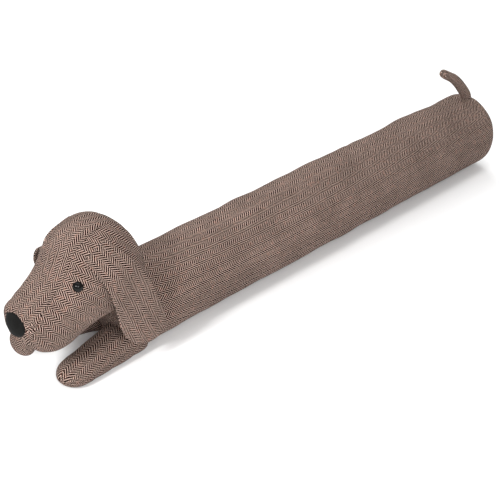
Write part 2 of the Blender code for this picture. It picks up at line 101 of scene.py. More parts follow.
def linear(code: str) -> tuple:
    """Linear red, green, blue and alpha of an sRGB hex colour."""
    parts = [int(code[i : i + 2], 16) / 255 for i in (1, 3, 5)]
    return (*[c / 12.92 if c <= 0.04045 else ((c + 0.055) / 1.055) ** 2.4 for c in parts], 1.0)


def add(tree: bpy.types.NodeTree, kind: str, links: dict, **settings: object) -> bpy.types.Node:
    """Add a node with its settings and its inputs.

    Args:
        tree: The node tree it goes into.
        kind: The node's type name, without "ShaderNode".
        links: Its inputs by name or number: a socket is linked, anything else is set.
        settings: The node's own properties.

    Returns:
        The new node.
    """
    made = tree.nodes.new("ShaderNode" + kind)
    for name, value in settings.items():
        setattr(made, name, value)
    for key, source in links.items():
        if isinstance(source, bpy.types.NodeSocket):
            tree.links.new(source, made.inputs[key])
        else:
            made.inputs[key].default_value = source
    return made


def blank_material(name: str) -> tuple:
    """A new node material with its Principled shader and its tree."""
    material = bpy.data.materials.new(name)
    material.use_nodes = True
    tree = material.node_tree
    return material, tree, tree.nodes["Principled BSDF"]


class Side(Enum):
    """Which side of the dog a piece is on."""

    LEFT = -1
    RIGHT = 1

    @property
    def word(self) -> str:
        """The side's name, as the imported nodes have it."""
        return self.name.lower()


class Pattern(NamedTuple):
    """Sockets of a drawn weave: its colour and its height from 0 to 1."""

    colour: bpy.types.NodeSocket
    height: bpy.types.NodeSocket


def calc(tree: bpy.types.NodeTree, operation: str, *values: object) -> bpy.types.NodeSocket:
    """Result of a Math node on sockets and numbers."""
    return add(tree, "Math", dict(enumerate(values)), operation=operation).outputs[0]


def remap(
    tree: bpy.types.NodeTree, value: bpy.types.NodeSocket, into: tuple, out_of: tuple = (0.0, 1.0)
) -> bpy.types.NodeSocket:
    """A value carried from one range into another."""
    return add(tree, "MapRange", {0: value, 1: out_of[0], 2: out_of[1], 3: into[0], 4: into[1]}).outputs[0]


def blend(
    tree: bpy.types.NodeTree, share: bpy.types.NodeSocket, first: object, second: object
) -> bpy.types.NodeSocket:
    """The first colour, with a share of the second."""
    return add(tree, "Mix", {0: share, 6: first, 7: second}, data_type="RGBA").outputs[2]


def cloud(tree: bpy.types.NodeTree, scale: float, detail: float = 2.0) -> bpy.types.Node:
    """Soft noise that stays with the object."""
    place = add(tree, "TexCoord", {})
    return add(tree, "TexNoise", {"Vector": place.outputs["Object"], "Scale": scale, "Detail": detail})


def emboss(
    tree: bpy.types.NodeTree,
    shader: bpy.types.Node,
    strength: float,
    distance: float,
    height: bpy.types.NodeSocket,
) -> None:
    """Give a shader fine relief from a drawn height."""
    bump = add(tree, "Bump", {"Strength": strength, "Distance": distance, "Height": height})
    tree.links.new(bump.outputs[0], shader.inputs["Normal"])


@dataclass(frozen=True)
class HerringboneTweed:
    """Woollen herringbone tweed, woven in cream over dark brown and left unmilled.

    It gives the eye small cream dashes in broken zigzag columns, a dry matt face and a soft bloom
    of loose fibre where the light grazes it.
    """

    dark: str = "#140A07"
    light: str = "#CCB2A5"
    rust: str = "#7D5244"
    bloom: str = "#E8D6CB"
    thread: float = 0.92 * MM
    threads_in_column: int = 7
    column_break: float = 2.0
    twill_repeat: float = 4.0
    float_share: float = 0.25
    wander: float = 1.6 * MM
    wander_scale: float = 45.0
    slub_scale: float = 260.0
    patch_scale: float = 22.0
    most_rust_in_dark: float = 0.6
    most_rust_in_light: float = 0.22
    # Painted shade: colour factor from a thread's edge to its back, standing in for the light on round yarn
    painted_thread_shade: tuple = (0.7, 1.08)
    patch_tone: tuple = (0.88, 1.1)
    yarn_tone: tuple = (0.88, 1.12)
    dark_thread_height: float = 0.75
    seam_width: float = 0.7 * MM
    # Painted shade: the colour factor at the middle of a seam, standing in for the shade in its groove
    painted_seam_darkest: float = 0.35
    roughness: float = 0.93
    specular: float = 0.08
    sheen: float = 0.02
    sheen_roughness: float = 0.5
    relief_strength: float = 0.55
    relief_depth: float = 0.45 * MM

    def flat_place(self, tree: bpy.types.NodeTree) -> bpy.types.NodeSocket:
        """Cloth coordinates in threads, switched from one panel to the next at the seam."""
        main, other, seam = (
            add(tree, "Attribute", {}, attribute_name=name) for name in (MAIN_PANEL, OTHER_PANEL, SEAM)
        )
        inside = calc(tree, "GREATER_THAN", seam.outputs["Fac"], 0.0)
        choice = {0: inside, 4: other.outputs["Vector"], 5: main.outputs["Vector"]}
        panel = add(tree, "Mix", choice, data_type="VECTOR")
        wander = cloud(tree, self.wander_scale)
        middle = {0: wander.outputs["Color"], 1: (0.5, 0.5, 0.5)}
        centred = add(tree, "VectorMath", middle, operation="SUBTRACT")
        small = add(tree, "VectorMath", {0: centred.outputs[0], "Scale": self.wander}, operation="SCALE")
        drawn = add(tree, "VectorMath", {0: panel.outputs[1], 1: small.outputs[0]}, operation="ADD")
        threads = {0: drawn.outputs[0], "Scale": 1 / self.thread}
        return add(tree, "VectorMath", threads, operation="SCALE").outputs[0]

    def cream_up(self, tree: bpy.types.NodeTree, axes: bpy.types.Node) -> bpy.types.NodeSocket:
        """One where a cream thread lies on top: a twill whose slant turns and breaks at each column."""
        width = float(self.threads_in_column)
        half = calc(tree, "ADD", calc(tree, "FLOOR", axes.outputs["Y"]), 0.5)
        zigzag = calc(tree, "PINGPONG", half, width)
        column = calc(tree, "FLOOR", calc(tree, "DIVIDE", half, width))
        odd = calc(tree, "FLOORED_MODULO", column, 2.0)
        step = calc(tree, "MULTIPLY_ADD", odd, self.column_break, zigzag)
        slant = calc(tree, "ADD", axes.outputs["X"], step)
        turn = calc(tree, "FRACT", calc(tree, "MULTIPLY", slant, 1 / self.twill_repeat))
        return calc(tree, "LESS_THAN", turn, self.float_share)

    def yarn_colour(
        self, tree: bpy.types.NodeTree, cell: bpy.types.NodeSocket, cream: bpy.types.NodeSocket
    ) -> bpy.types.NodeSocket:
        """Colour of the thread on top, with rust fibres spun in."""
        speck = add(tree, "TexWhiteNoise", {"Vector": cell}, noise_dimensions="2D")
        slub = cloud(tree, self.slub_scale)
        warm = remap(tree, slub.outputs["Fac"], (0.0, self.most_rust_in_dark), (0.55, 0.75))
        worn = remap(tree, speck.outputs["Value"], (0.0, self.most_rust_in_light), (0.5, 1.0))
        dark = blend(tree, warm, linear(self.dark), linear(self.rust))
        light = blend(tree, worn, linear(self.light), linear(self.rust))
        return blend(tree, cream, dark, light)

    def weave(self, tree: bpy.types.NodeTree) -> Pattern:
        """Draw the cloth's colour and height; the colour carries painted shade across each round thread and
        painted shade along the seams.
        """
        axes = add(tree, "SeparateXYZ", {0: self.flat_place(tree)})
        pick = calc(tree, "FLOOR", axes.outputs["X"])
        end = calc(tree, "FLOOR", axes.outputs["Y"])
        cell = add(tree, "CombineXYZ", {0: pick, 1: end}).outputs[0]
        cream = self.cream_up(tree, axes)
        pick_back = self.roundness(tree, axes.outputs["X"])
        end_back = self.roundness(tree, axes.outputs["Y"])
        crown = add(tree, "Mix", {0: cream, 2: pick_back, 3: end_back}, data_type="FLOAT").outputs[0]
        streak = add(tree, "TexWhiteNoise", {"W": end}, noise_dimensions="1D")
        patch = cloud(tree, self.patch_scale)
        tone = remap(tree, patch.outputs["Fac"], self.patch_tone, (0.3, 0.7))
        yarn = remap(tree, streak.outputs["Value"], self.yarn_tone)
        # Painted shade: each thread's colour is darkened towards its edges, as light falls off a round yarn;
        # yarn and patch tone are real random tone
        shade = remap(tree, crown, self.painted_thread_shade)
        shade = calc(tree, "MULTIPLY", shade, calc(tree, "MULTIPLY", yarn, tone))
        seam = add(tree, "Attribute", {}, attribute_name=SEAM)
        away = calc(tree, "ABSOLUTE", seam.outputs["Fac"])
        # Painted shade: the colour darkens towards each seam, standing in for the shade in its groove; the
        # groove itself is also shaped in the mesh
        painted_seam_darkening = remap(tree, away, (self.painted_seam_darkest, 1.0), (0.0, self.seam_width))
        all_shade = calc(tree, "MULTIPLY", shade, painted_seam_darkening)
        threads = {0: self.yarn_colour(tree, cell, cream), "Scale": all_shade}
        colour = add(tree, "VectorMath", threads, operation="SCALE").outputs[0]
        lift = remap(tree, cream, (self.dark_thread_height, 1.0))
        sunk = remap(tree, away, (0.0, 1.0), (0.0, 2 * self.seam_width))
        return Pattern(colour, calc(tree, "MULTIPLY", calc(tree, "MULTIPLY", crown, lift), sunk))

    def roundness(self, tree: bpy.types.NodeTree, counted: bpy.types.NodeSocket) -> bpy.types.NodeSocket:
        """Height of a round thread across its width, from 0 at its edges to 1 on its back."""
        return calc(tree, "SINE", calc(tree, "MULTIPLY", calc(tree, "FRACT", counted), math.pi))

    def material(self) -> bpy.types.Material:
        """The finished cloth."""
        material, tree, shader = blank_material("woollen_herringbone_tweed")
        pattern = self.weave(tree)
        tree.links.new(pattern.colour, shader.inputs["Base Color"])
        shader.inputs["Roughness"].default_value = self.roughness
        shader.inputs["Specular IOR Level"].default_value = self.specular
        shader.inputs["Sheen Weight"].default_value = self.sheen
        shader.inputs["Sheen Roughness"].default_value = self.sheen_roughness
        shader.inputs["Sheen Tint"].default_value = linear(self.bloom)
        emboss(tree, shader, self.relief_strength, self.relief_depth, pattern.height)
        return material


@dataclass(frozen=True)
class WoolFelt:
    """Charcoal wool felt, pressed and cut, with a short clouded nap that takes all shine away."""

    base: str = "#0D0D0C"
    nap: str = "#161615"
    fibre_scale: float = 900.0
    cloud_scale: float = 120.0
    roughness: float = 0.9
    specular: float = 0.1
    sheen: float = 0.02
    sheen_roughness: float = 0.5
    relief_strength: float = 0.5
    relief_depth: float = 0.3 * MM

    def material(self) -> bpy.types.Material:
        """The finished felt."""
        material, tree, shader = blank_material("pressed_wool_felt")
        fibre = cloud(tree, self.fibre_scale, 4.0).outputs["Fac"]
        clouded = cloud(tree, self.cloud_scale, 3.0).outputs["Fac"]
        spread = remap(tree, calc(tree, "MULTIPLY", fibre, clouded), (0.0, 1.0), (0.12, 0.42))
        colour = blend(tree, spread, linear(self.base), linear(self.nap))
        tree.links.new(colour, shader.inputs["Base Color"])
        shader.inputs["Roughness"].default_value = self.roughness
        shader.inputs["Specular IOR Level"].default_value = self.specular
        shader.inputs["Sheen Weight"].default_value = self.sheen
        shader.inputs["Sheen Roughness"].default_value = self.sheen_roughness
        emboss(tree, shader, self.relief_strength, self.relief_depth, fibre)
        return material


@dataclass(frozen=True)
class PolishedBead:
    """Moulded black acrylic bead, tumbled smooth, with its reflections held back to stay black.

    It gives the eye a nearly black dot with a faint small highlight.
    """

    base: str = "#0B0A0A"
    roughness: float = 0.035
    smear_scale: float = 300.0
    refraction: float = 1.49
    specular: float = 0.18

    def material(self) -> bpy.types.Material:
        """The finished bead."""
        material, tree, shader = blank_material("moulded_black_acrylic")
        smear = cloud(tree, self.smear_scale)
        rough = remap(tree, smear.outputs["Fac"], (self.roughness * 0.7, self.roughness * 1.4))
        tree.links.new(rough, shader.inputs["Roughness"])
        shader.inputs["Base Color"].default_value = linear(self.base)
        shader.inputs["IOR"].default_value = self.refraction
        shader.inputs["Specular IOR Level"].default_value = self.specular
        return material


@dataclass(frozen=True)
class PaleFloor:
    """Plain matt studio floor, close to white, that takes soft shadows and no shine."""

    base: str = "#F1F1F1"
    roughness: float = 0.9
    specular: float = 0.1

    def material(self) -> bpy.types.Material:
        """The finished floor."""
        material, _, shader = blank_material("pale_studio_floor")
        shader.inputs["Base Color"].default_value = linear(self.base)
        shader.inputs["Roughness"].default_value = self.roughness
        shader.inputs["Specular IOR Level"].default_value = self.specular
        return material


@dataclass(frozen=True)
class Wardrobe:
    """The finishes of the whole object, each made once."""

    tweed: bpy.types.Material
    felt: bpy.types.Material
    bead: bpy.types.Material


class ClothPoint(NamedTuple):
    """A point of a stuffed shape, with its place on the flat cloth of its panel and the next one."""

    place: Vector
    main: tuple
    other: tuple
    seam: float


def smooth_between(rows: Sequence[NamedTuple], key: str, at: float) -> dict:
    """Read a table of named rows as one smooth curve.

    Args:
        rows: Named tuples in rising order of the key.
        key: The column that is known.
        at: The value of that column to read the others at.

    Returns:
        Every column's value there, by name.
    """
    last = len(rows) - 2
    index = 0
    while index < last and getattr(rows[index + 1], key) < at:
        index += 1
    before = rows[max(index - 1, 0)]
    left = rows[index]
    right = rows[index + 1]
    after = rows[min(index + 2, len(rows) - 1)]
    span = getattr(right, key) - getattr(left, key)
    t = min(max((at - getattr(left, key)) / span, 0.0), 1.0)
    values = {}
    for column in left._fields:
        a = getattr(left, column)
        b = getattr(right, column)
        slope_a = span * (b - getattr(before, column)) / (getattr(right, key) - getattr(before, key))
        slope_b = span * (getattr(after, column) - a) / (getattr(after, key) - getattr(left, key))
        rise = (2 * t**3 - 3 * t**2 + 1) * a + (t**3 - 2 * t**2 + t) * slope_a
        values[column] = rise + (3 * t**2 - 2 * t**3) * b + (t**3 - t**2) * slope_b
    return values


def ring_lengths(points: Sequence[Vector]) -> list:
    """Running length along a line of points."""
    lengths = [0.0]
    for a, b in zip(points, points[1:]):
        lengths.append(lengths[-1] + (b - a).length)
    return lengths


def nearest_of(points: Sequence[Vector]) -> KDTree:
    """The points, ready to be searched for the nearest one."""
    tree = KDTree(len(points))
    for i, point in enumerate(points):
        tree.insert(point, i)
    tree.balance()
    return tree


def skin(rings: Sequence[Sequence[ClothPoint]], first: ClothPoint, last: ClothPoint) -> bmesh.types.BMesh:
    """Extrude a circle from ring to ring and draw both ends in to a point.

    Args:
        rings: Equal rings of points, each going round the same way from the same side.
        first: The point that closes the first ring.
        last: The point that closes the last ring.

    Returns:
        A closed mesh whose points carry their flat cloth coordinates.
    """
    bm = bmesh.new()
    layers = (
        bm.verts.layers.float_vector.new(MAIN_PANEL),
        bm.verts.layers.float_vector.new(OTHER_PANEL),
        bm.verts.layers.float.new(SEAM),
    )

    def put(vertex: bmesh.types.BMVert, point: ClothPoint) -> None:
        """Place one vertex and write its cloth coordinates."""
        vertex.co = point.place
        vertex[layers[0]] = (*point.main, 0.0)
        vertex[layers[1]] = (*point.other, 0.0)
        vertex[layers[2]] = point.seam

    count = len(rings[0])
    bmesh.ops.create_circle(bm, cap_ends=False, radius=1.0, segments=count)
    ring = sorted(bm.verts, key=lambda v: math.atan2(v.co.y, v.co.x) % math.tau)
    for vertex, point in zip(ring, rings[0]):
        put(vertex, point)
    ends = [(list(ring), first)]
    for target in rings[1:]:
        edges = [bm.edges.get((ring[k], ring[(k + 1) % count])) for k in range(count)]
        made = bmesh.ops.extrude_edge_only(bm, edges=edges)
        fresh = {item for item in made["geom"] if isinstance(item, bmesh.types.BMVert)}
        ring = [next(e.other_vert(v) for e in v.link_edges if e.other_vert(v) in fresh) for v in ring]
        for vertex, point in zip(ring, target):
            put(vertex, point)
    ends.append((ring, last))
    for loop, pole in ends:
        edges = [bm.edges.get((loop[k], loop[(k + 1) % count])) for k in range(count)]
        cap = bmesh.ops.contextual_create(bm, geom=edges)["faces"]
        centre = bmesh.ops.poke(bm, faces=cap)["verts"][0]
        put(centre, pole)
    bmesh.ops.recalc_face_normals(bm, faces=bm.faces)
    return bm


def face_links(bm: bmesh.types.BMesh, numbers: dict) -> np.ndarray:
    """Pairs of point numbers along and across every face, in a fixed order."""
    links = set()
    for face in bm.faces:
        corners = [numbers[v] for v in face.verts if v in numbers]
        links |= {(min(a, b), max(a, b)) for a in corners for b in corners if a != b}
    return np.array(sorted(links))


def relax_flat(
    places: np.ndarray, flat: np.ndarray, links: np.ndarray, passes: int = 300, hurry: float = 1.3
) -> np.ndarray:
    """Ease flat cloth coordinates until each link is as long as it is on the shape.

    Args:
        places: The points on the shape.
        flat: Their first flat coordinates.
        links: Pairs of point numbers, along and across the faces.
        passes: How often the links are eased.
        hurry: How far each pass goes, where 1 is the mean of what the links ask for.

    Returns:
        The eased flat coordinates.
    """
    lengths = np.linalg.norm(places[links[:, 0]] - places[links[:, 1]], axis=1)
    count = len(flat)
    shares = np.maximum(np.bincount(links.ravel(), minlength=count), 1)
    eased = flat.copy()
    for _ in range(passes):
        gap = eased[links[:, 1]] - eased[links[:, 0]]
        now = np.maximum(np.linalg.norm(gap, axis=1), TINY)
        push = gap * ((now - lengths) / now / 2)[:, None]
        for axis in range(2):
            pulled = np.bincount(links[:, 0], push[:, axis], count)
            pushed = np.bincount(links[:, 1], push[:, axis], count)
            eased[:, axis] += hurry * (pulled - pushed) / shares
    return eased


def signed_power(value: float, power: float) -> float:
    """A power of a value that keeps its sign."""
    return math.copysign(abs(value) ** power, value)


def to_object(bm: bmesh.types.BMesh, name: str) -> bpy.types.Object:
    """Turn a mesh into a smooth object at the origin."""
    mesh = bpy.data.meshes.new(name)
    bm.to_mesh(mesh)
    bm.free()
    mesh.shade_smooth()
    piece = bpy.data.objects.new(name, mesh)
    bpy.context.scene.collection.objects.link(piece)
    return piece


def subdivide(piece: bpy.types.Object, levels: int) -> None:
    """Round a piece off with a subdivision surface, alike in view and render."""
    rounding = piece.modifiers.new("rounding", "SUBSURF")
    rounding.levels = levels
    rounding.render_levels = levels


@dataclass(frozen=True)
class Stuffing:
    """How hard a cover is filled, for the cloth simulation that puffs it out."""

    pressure: float = 4.0
    frames: int = 20
    cap: float = 3.0 * MM
    seam_pull: float = 0.06
    seam_reach: float = 5 * MM

    def fill(self, piece: bpy.types.Object) -> None:
        """Puff a closed cover, pull its seams tight and keep every point within the cap.

        Args:
            piece: The cover. Its mesh keeps its faces and cloth coordinates.
        """
        rest = read_points(piece.data)
        copy = bpy.data.objects.new(piece.name + "_filling", piece.data.copy())
        bpy.context.scene.collection.objects.link(copy)
        tight = copy.vertex_groups.new(name="tight")
        seam = np.zeros(len(copy.data.vertices), np.float32)
        copy.data.attributes[SEAM].data.foreach_get("value", seam)
        for index in np.nonzero(np.abs(seam) < self.seam_reach)[0]:
            tight.add([int(index)], float(1 - abs(seam[index]) / self.seam_reach), "REPLACE")
        puff = copy.modifiers.new("puff", "CLOTH")
        cloth = puff.settings
        cloth.quality = 6
        cloth.mass = 0.2
        cloth.tension_stiffness = 12.0
        cloth.compression_stiffness = 8.0
        cloth.shear_stiffness = 4.0
        cloth.bending_stiffness = 0.3
        cloth.air_damping = 4.0
        cloth.use_pressure = True
        cloth.uniform_pressure_force = self.pressure
        cloth.vertex_group_shrink = "tight"
        cloth.shrink_min = 0.0
        cloth.shrink_max = self.seam_pull
        cloth.effector_weights.gravity = 0.0
        puff.collision_settings.use_collision = False
        puff.point_cache.frame_start = 1
        puff.point_cache.frame_end = self.frames
        scene = bpy.context.scene
        for number in range(1, self.frames + 1):
            scene.frame_set(number)
        graph = bpy.context.evaluated_depsgraph_get()
        puffed = read_points(copy.evaluated_get(graph).data)
        scene.frame_set(1)
        moved = puffed - rest
        far = np.linalg.norm(moved, axis=1, keepdims=True)
        moved *= np.minimum(1.0, self.cap / np.maximum(far, TINY))
        moved[~np.isfinite(moved).all(axis=1)] = 0.0
        normals = np.array([vertex.normal for vertex in piece.data.vertices])
        outward = (moved * normals).sum(axis=1)
        moved -= normals * outward.mean()
        settled = rest + moved
        settled[:, 2] = np.maximum(settled[:, 2], np.minimum(rest[:, 2], FLOOR_ROOM))
        piece.data.vertices.foreach_set("co", settled.astype(np.float32).ravel())
        piece.data.update()
        bpy.data.objects.remove(copy, do_unlink=True)


def read_points(mesh: bpy.types.Mesh) -> np.ndarray:
    """Every vertex of a mesh as one row of numbers."""
    flat = np.zeros(len(mesh.vertices) * 3, np.float32)
    mesh.vertices.foreach_get("co", flat)
    return flat.reshape(-1, 3).astype(float)


def ease(piece: bpy.types.Object, amount: Callable[[Vector, Vector, float], float]) -> None:
    """Push every point of a piece in or out along its normal.

    Args:
        piece: The piece to shape.
        amount: Gives the distance outwards from a point, its normal and its distance to the seam.
    """
    bm = bmesh.new()
    bm.from_mesh(piece.data)
    bm.normal_update()
    seam = bm.verts.layers.float[SEAM]
    shifts = [v.normal * amount(v.co.copy(), v.normal.copy(), v[seam]) for v in bm.verts]
    for vertex, shift in zip(bm.verts, shifts):
        on_floor = vertex.co.z < FLOOR_TOUCH
        vertex.co += shift
        vertex.co.z = 0.0 if on_floor else max(vertex.co.z, 0.0)
    bm.to_mesh(piece.data)
    bm.free()


def seam_relief(seam: float, place: Vector, depth: float, pucker: float) -> float:
    """Groove of a sewn seam with the small puckers that its stitches draw up."""
    groove = -depth * math.exp(-((seam / STITCH_GROOVE) ** 2))
    ripple = noise.noise(place * PUCKERS_PER_METRE) * pucker * math.exp(-((seam / PUCKER_REACH) ** 2))
    return groove + ripple


def lump(place: Vector, size: float, height: float, shift: float) -> float:
    """Gentle unevenness of loose filling, the same each run."""
    return height * noise.noise(place / size + Vector((shift, 2 * shift, -shift)))


def dress(piece: bpy.types.Object, material: bpy.types.Material, slot: str, *nodes: str) -> None:
    """Give a piece its finish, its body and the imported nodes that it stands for."""
    piece.data.materials.clear()
    piece.data.materials.append(material)
    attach(piece, ROOT)
    if nodes:
        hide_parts(*nodes)
    LOG.info("%s: %d points", piece.name, len(piece.data.vertices))


class SoftDent(NamedTuple):
    """A shallow hollow, or a swelling where negative, in the filled tube: its place and its size."""

    along: float
    round_deg: float
    depth: float
    length: float
    spread_deg: float


class Crease(NamedTuple):
    """A soft fold that runs round part of the tube: its place, its lean and its size."""

    along: float
    round_deg: float
    depth: float
    width: float = 0.0045
    spread_deg: float = 24.0
    lean: float = 0.012

    def depth_at(self, spot: Vector, middle: float) -> float:
        """How far the fold draws the cloth in at a laid-out point."""
        round_deg = math.degrees(math.atan2(spot.z - middle, spot.y))
        off_round = (round_deg - self.round_deg) / self.spread_deg
        off_along = (spot.x - self.along - self.lean * off_round) / self.width
        return self.depth * math.exp(-(off_along**2) - off_round**2)


@dataclass
class BodyTube:
    """The long filled tube with a round end panel sewn into its rear, pressed flat where it lies."""

    half_width: float = 0.0562
    height: float = 0.1142
    sag: float = 0.0025
    front: float = 0.1340
    rear: float = 0.8640
    front_round: float = 0.0320
    front_squash: float = 0.6
    squash_length: float = 0.0500
    rear_round: float = 0.0130
    end_crown: float = 0.0040
    sides: int = 72
    spacing: float = 0.0050
    front_steps: int = 9
    rear_steps: int = 5
    seam_share: float = 0.3
    end_panel_share: float = 0.9
    dents: tuple = (
        SoftDent(along=0.1700, round_deg=75.0, depth=0.0045, length=0.0350, spread_deg=60.0),
        SoftDent(along=0.1720, round_deg=150.0, depth=0.0080, length=0.0230, spread_deg=50.0),
        SoftDent(along=0.2450, round_deg=70.0, depth=0.0012, length=0.0300, spread_deg=60.0),
        SoftDent(along=0.3900, round_deg=120.0, depth=0.0010, length=0.0500, spread_deg=45.0),
        SoftDent(along=0.5350, round_deg=75.0, depth=-0.0012, length=0.0300, spread_deg=60.0),
        SoftDent(along=0.6300, round_deg=150.0, depth=0.0010, length=0.0220, spread_deg=40.0),
        SoftDent(along=0.7250, round_deg=75.0, depth=-0.0024, length=0.0350, spread_deg=60.0),
        SoftDent(along=0.8050, round_deg=65.0, depth=0.0024, length=0.0300, spread_deg=50.0),
    )
    creases: tuple = (
        Crease(along=0.2080, round_deg=118.0, depth=0.0013, spread_deg=30.0),
        Crease(along=0.2350, round_deg=150.0, depth=0.0009, lean=-0.010),
        Crease(along=0.3300, round_deg=110.0, depth=0.0009),
        Crease(along=0.3960, round_deg=140.0, depth=0.0013, lean=-0.008),
        Crease(along=0.4700, round_deg=100.0, depth=0.0009),
        Crease(along=0.5060, round_deg=128.0, depth=0.0015, spread_deg=30.0),
        Crease(along=0.5700, round_deg=112.0, depth=0.0013, lean=0.006),
        Crease(along=0.6450, round_deg=145.0, depth=0.0010, lean=-0.008),
        Crease(along=0.7250, round_deg=118.0, depth=0.0010),
        Crease(along=0.8150, round_deg=105.0, depth=0.0013),
        Crease(along=0.8260, round_deg=70.0, depth=0.0012, lean=-0.012),
        Crease(along=0.3500, round_deg=40.0, depth=0.0012),
        Crease(along=0.6100, round_deg=50.0, depth=0.0012, lean=-0.010),
        Crease(along=0.7700, round_deg=165.0, depth=0.0010, lean=0.010),
    )

    def dent_depth(self, along: float, across: float, up: float) -> float:
        """How far the tube is pushed in at a point of its surface."""
        round_deg = math.degrees(math.atan2(up - self.height / 2, across))
        depth = 0.0
        for dent in self.dents:
            off_along = (along - dent.along) / dent.length
            off_round = (round_deg - dent.round_deg) / dent.spread_deg
            depth += dent.depth * math.exp(-(off_along**2) - off_round**2)
        return depth

    def rounding(self, radius: float, steps: int) -> list:
        """Steps (behind the end, inside the full section) of a rounded edge."""
        turns = [math.pi / 2 * (i + 0.5) / steps for i in range(steps)]
        return [(radius * (1 - math.cos(turn)), radius * (1 - math.sin(turn))) for turn in turns]

    def stations(self) -> list:
        """Places (along, share of the full section) of the rings."""
        radius = self.height / 2
        front_face = 1 - self.front_round / radius
        rear_face = 1 - self.rear_round / radius
        found = []
        for share in END_SHARES:
            found.append((self.front - self.end_crown * (1 - share**2), share * front_face))
        for back, inset in self.rounding(self.front_round, self.front_steps):
            found.append((self.front + back, 1 - inset / radius))
        first = self.front + self.front_round
        last = self.rear - self.rear_round
        count = round((last - first) / self.spacing)
        for i in range(count + 1):
            found.append((first + (last - first) * i / count, 1.0))
        for back, inset in reversed(self.rounding(self.rear_round, self.rear_steps)):
            found.append((self.rear - back, 1 - inset / radius))
        for share in reversed(END_SHARES):
            found.append((self.rear + self.end_crown * (1 - share**2), share * rear_face))
        return found

    def section(self, along: float, size: float) -> list:
        """Points (across, up) of the tube at one station."""
        middle = self.height / 2
        pressed = self.front_squash * max(0.0, 1 - (along - self.front) / self.squash_length)
        points = []
        for i in range(self.sides):
            angle = math.tau * i / self.sides
            above = math.sin(angle) > 0
            power = 1.0 if above else 2 / (2 + pressed)
            reach = middle if above else middle + self.sag
            across = self.half_width * size * signed_power(math.cos(angle), power)
            up = max(middle + reach * size * signed_power(math.sin(angle), power), 0.0)
            outward = Vector((across, up - middle))
            if up > self.sag:
                outward -= outward.normalized() * self.dent_depth(along, across, up) * size
            points.append((outward.x, middle + outward.y))
        return points

    def cover(self) -> bmesh.types.BMesh:
        """The tube's cover, as a closed mesh."""
        stations = self.stations()
        seam_along = self.rear - self.seam_share * self.rear_round
        middle = self.height / 2
        rings = []
        cloth = 0.0
        previous = stations[0]
        for along, size in stations:
            cloth += math.hypot(along - previous[0], (size - previous[1]) * middle)
            previous = (along, size)
            ring = []
            for across, up in self.section(along, size):
                flat_away = abs(math.atan2(across, up - middle)) * middle
                edge = seam_along - along
                if along > self.rear - self.rear_round and size <= self.end_panel_share:
                    edge = math.hypot(across, up - middle) - middle
                ring.append(ClothPoint(world(along, across, up), (cloth, flat_away), (up, across), edge))
            rings.append(ring)
        front = world(self.front - self.end_crown, 0.0, middle)
        rear = world(self.rear + self.end_crown, 0.0, middle)
        first = ClothPoint(front, (0.0, 0.0), (middle, 0.0), NO_SEAM)
        last = ClothPoint(rear, (cloth, 0.0), (middle, 0.0), -middle)
        return skin(rings, first, last)

    def build(self, wardrobe: Wardrobe) -> bpy.types.Object:
        """Sew, fill and dress the tube."""
        piece = to_object(self.cover(), "body_cover")
        Stuffing(pressure=4.0, cap=2.5 * MM, seam_pull=0.05).fill(piece)

        def unevenness(place: Vector, normal: Vector, seam: float) -> float:
            """Loose filling and the drawn-up rear seam."""
            stretched = Vector((place.x * 1.6, place.y, place.z))
            soft = lump(stretched, 0.070, 1.5 * MM, 3.1) + lump(stretched, 0.030, 0.5 * MM, 7.7)
            spot = place - ORIGIN
            drawn = sum(crease.depth_at(spot, self.height / 2) for crease in self.creases)
            return soft - drawn + seam_relief(seam, place, 1.0 * MM, 0.5 * MM)

        ease(piece, unevenness)
        subdivide(piece, 1)
        dress(piece, wardrobe.tweed, "tweed", "body")
        return piece


class HeadSection(NamedTuple):
    """One cross section of the head, seen from the front, at a distance behind the muzzle's tip."""

    along: float
    underside: float
    widest: float
    crown: float
    half_width: float


class SeamPoint(NamedTuple):
    """A point of the seam between the head's top panel and its side panel."""

    along: float
    away: float
    up: float


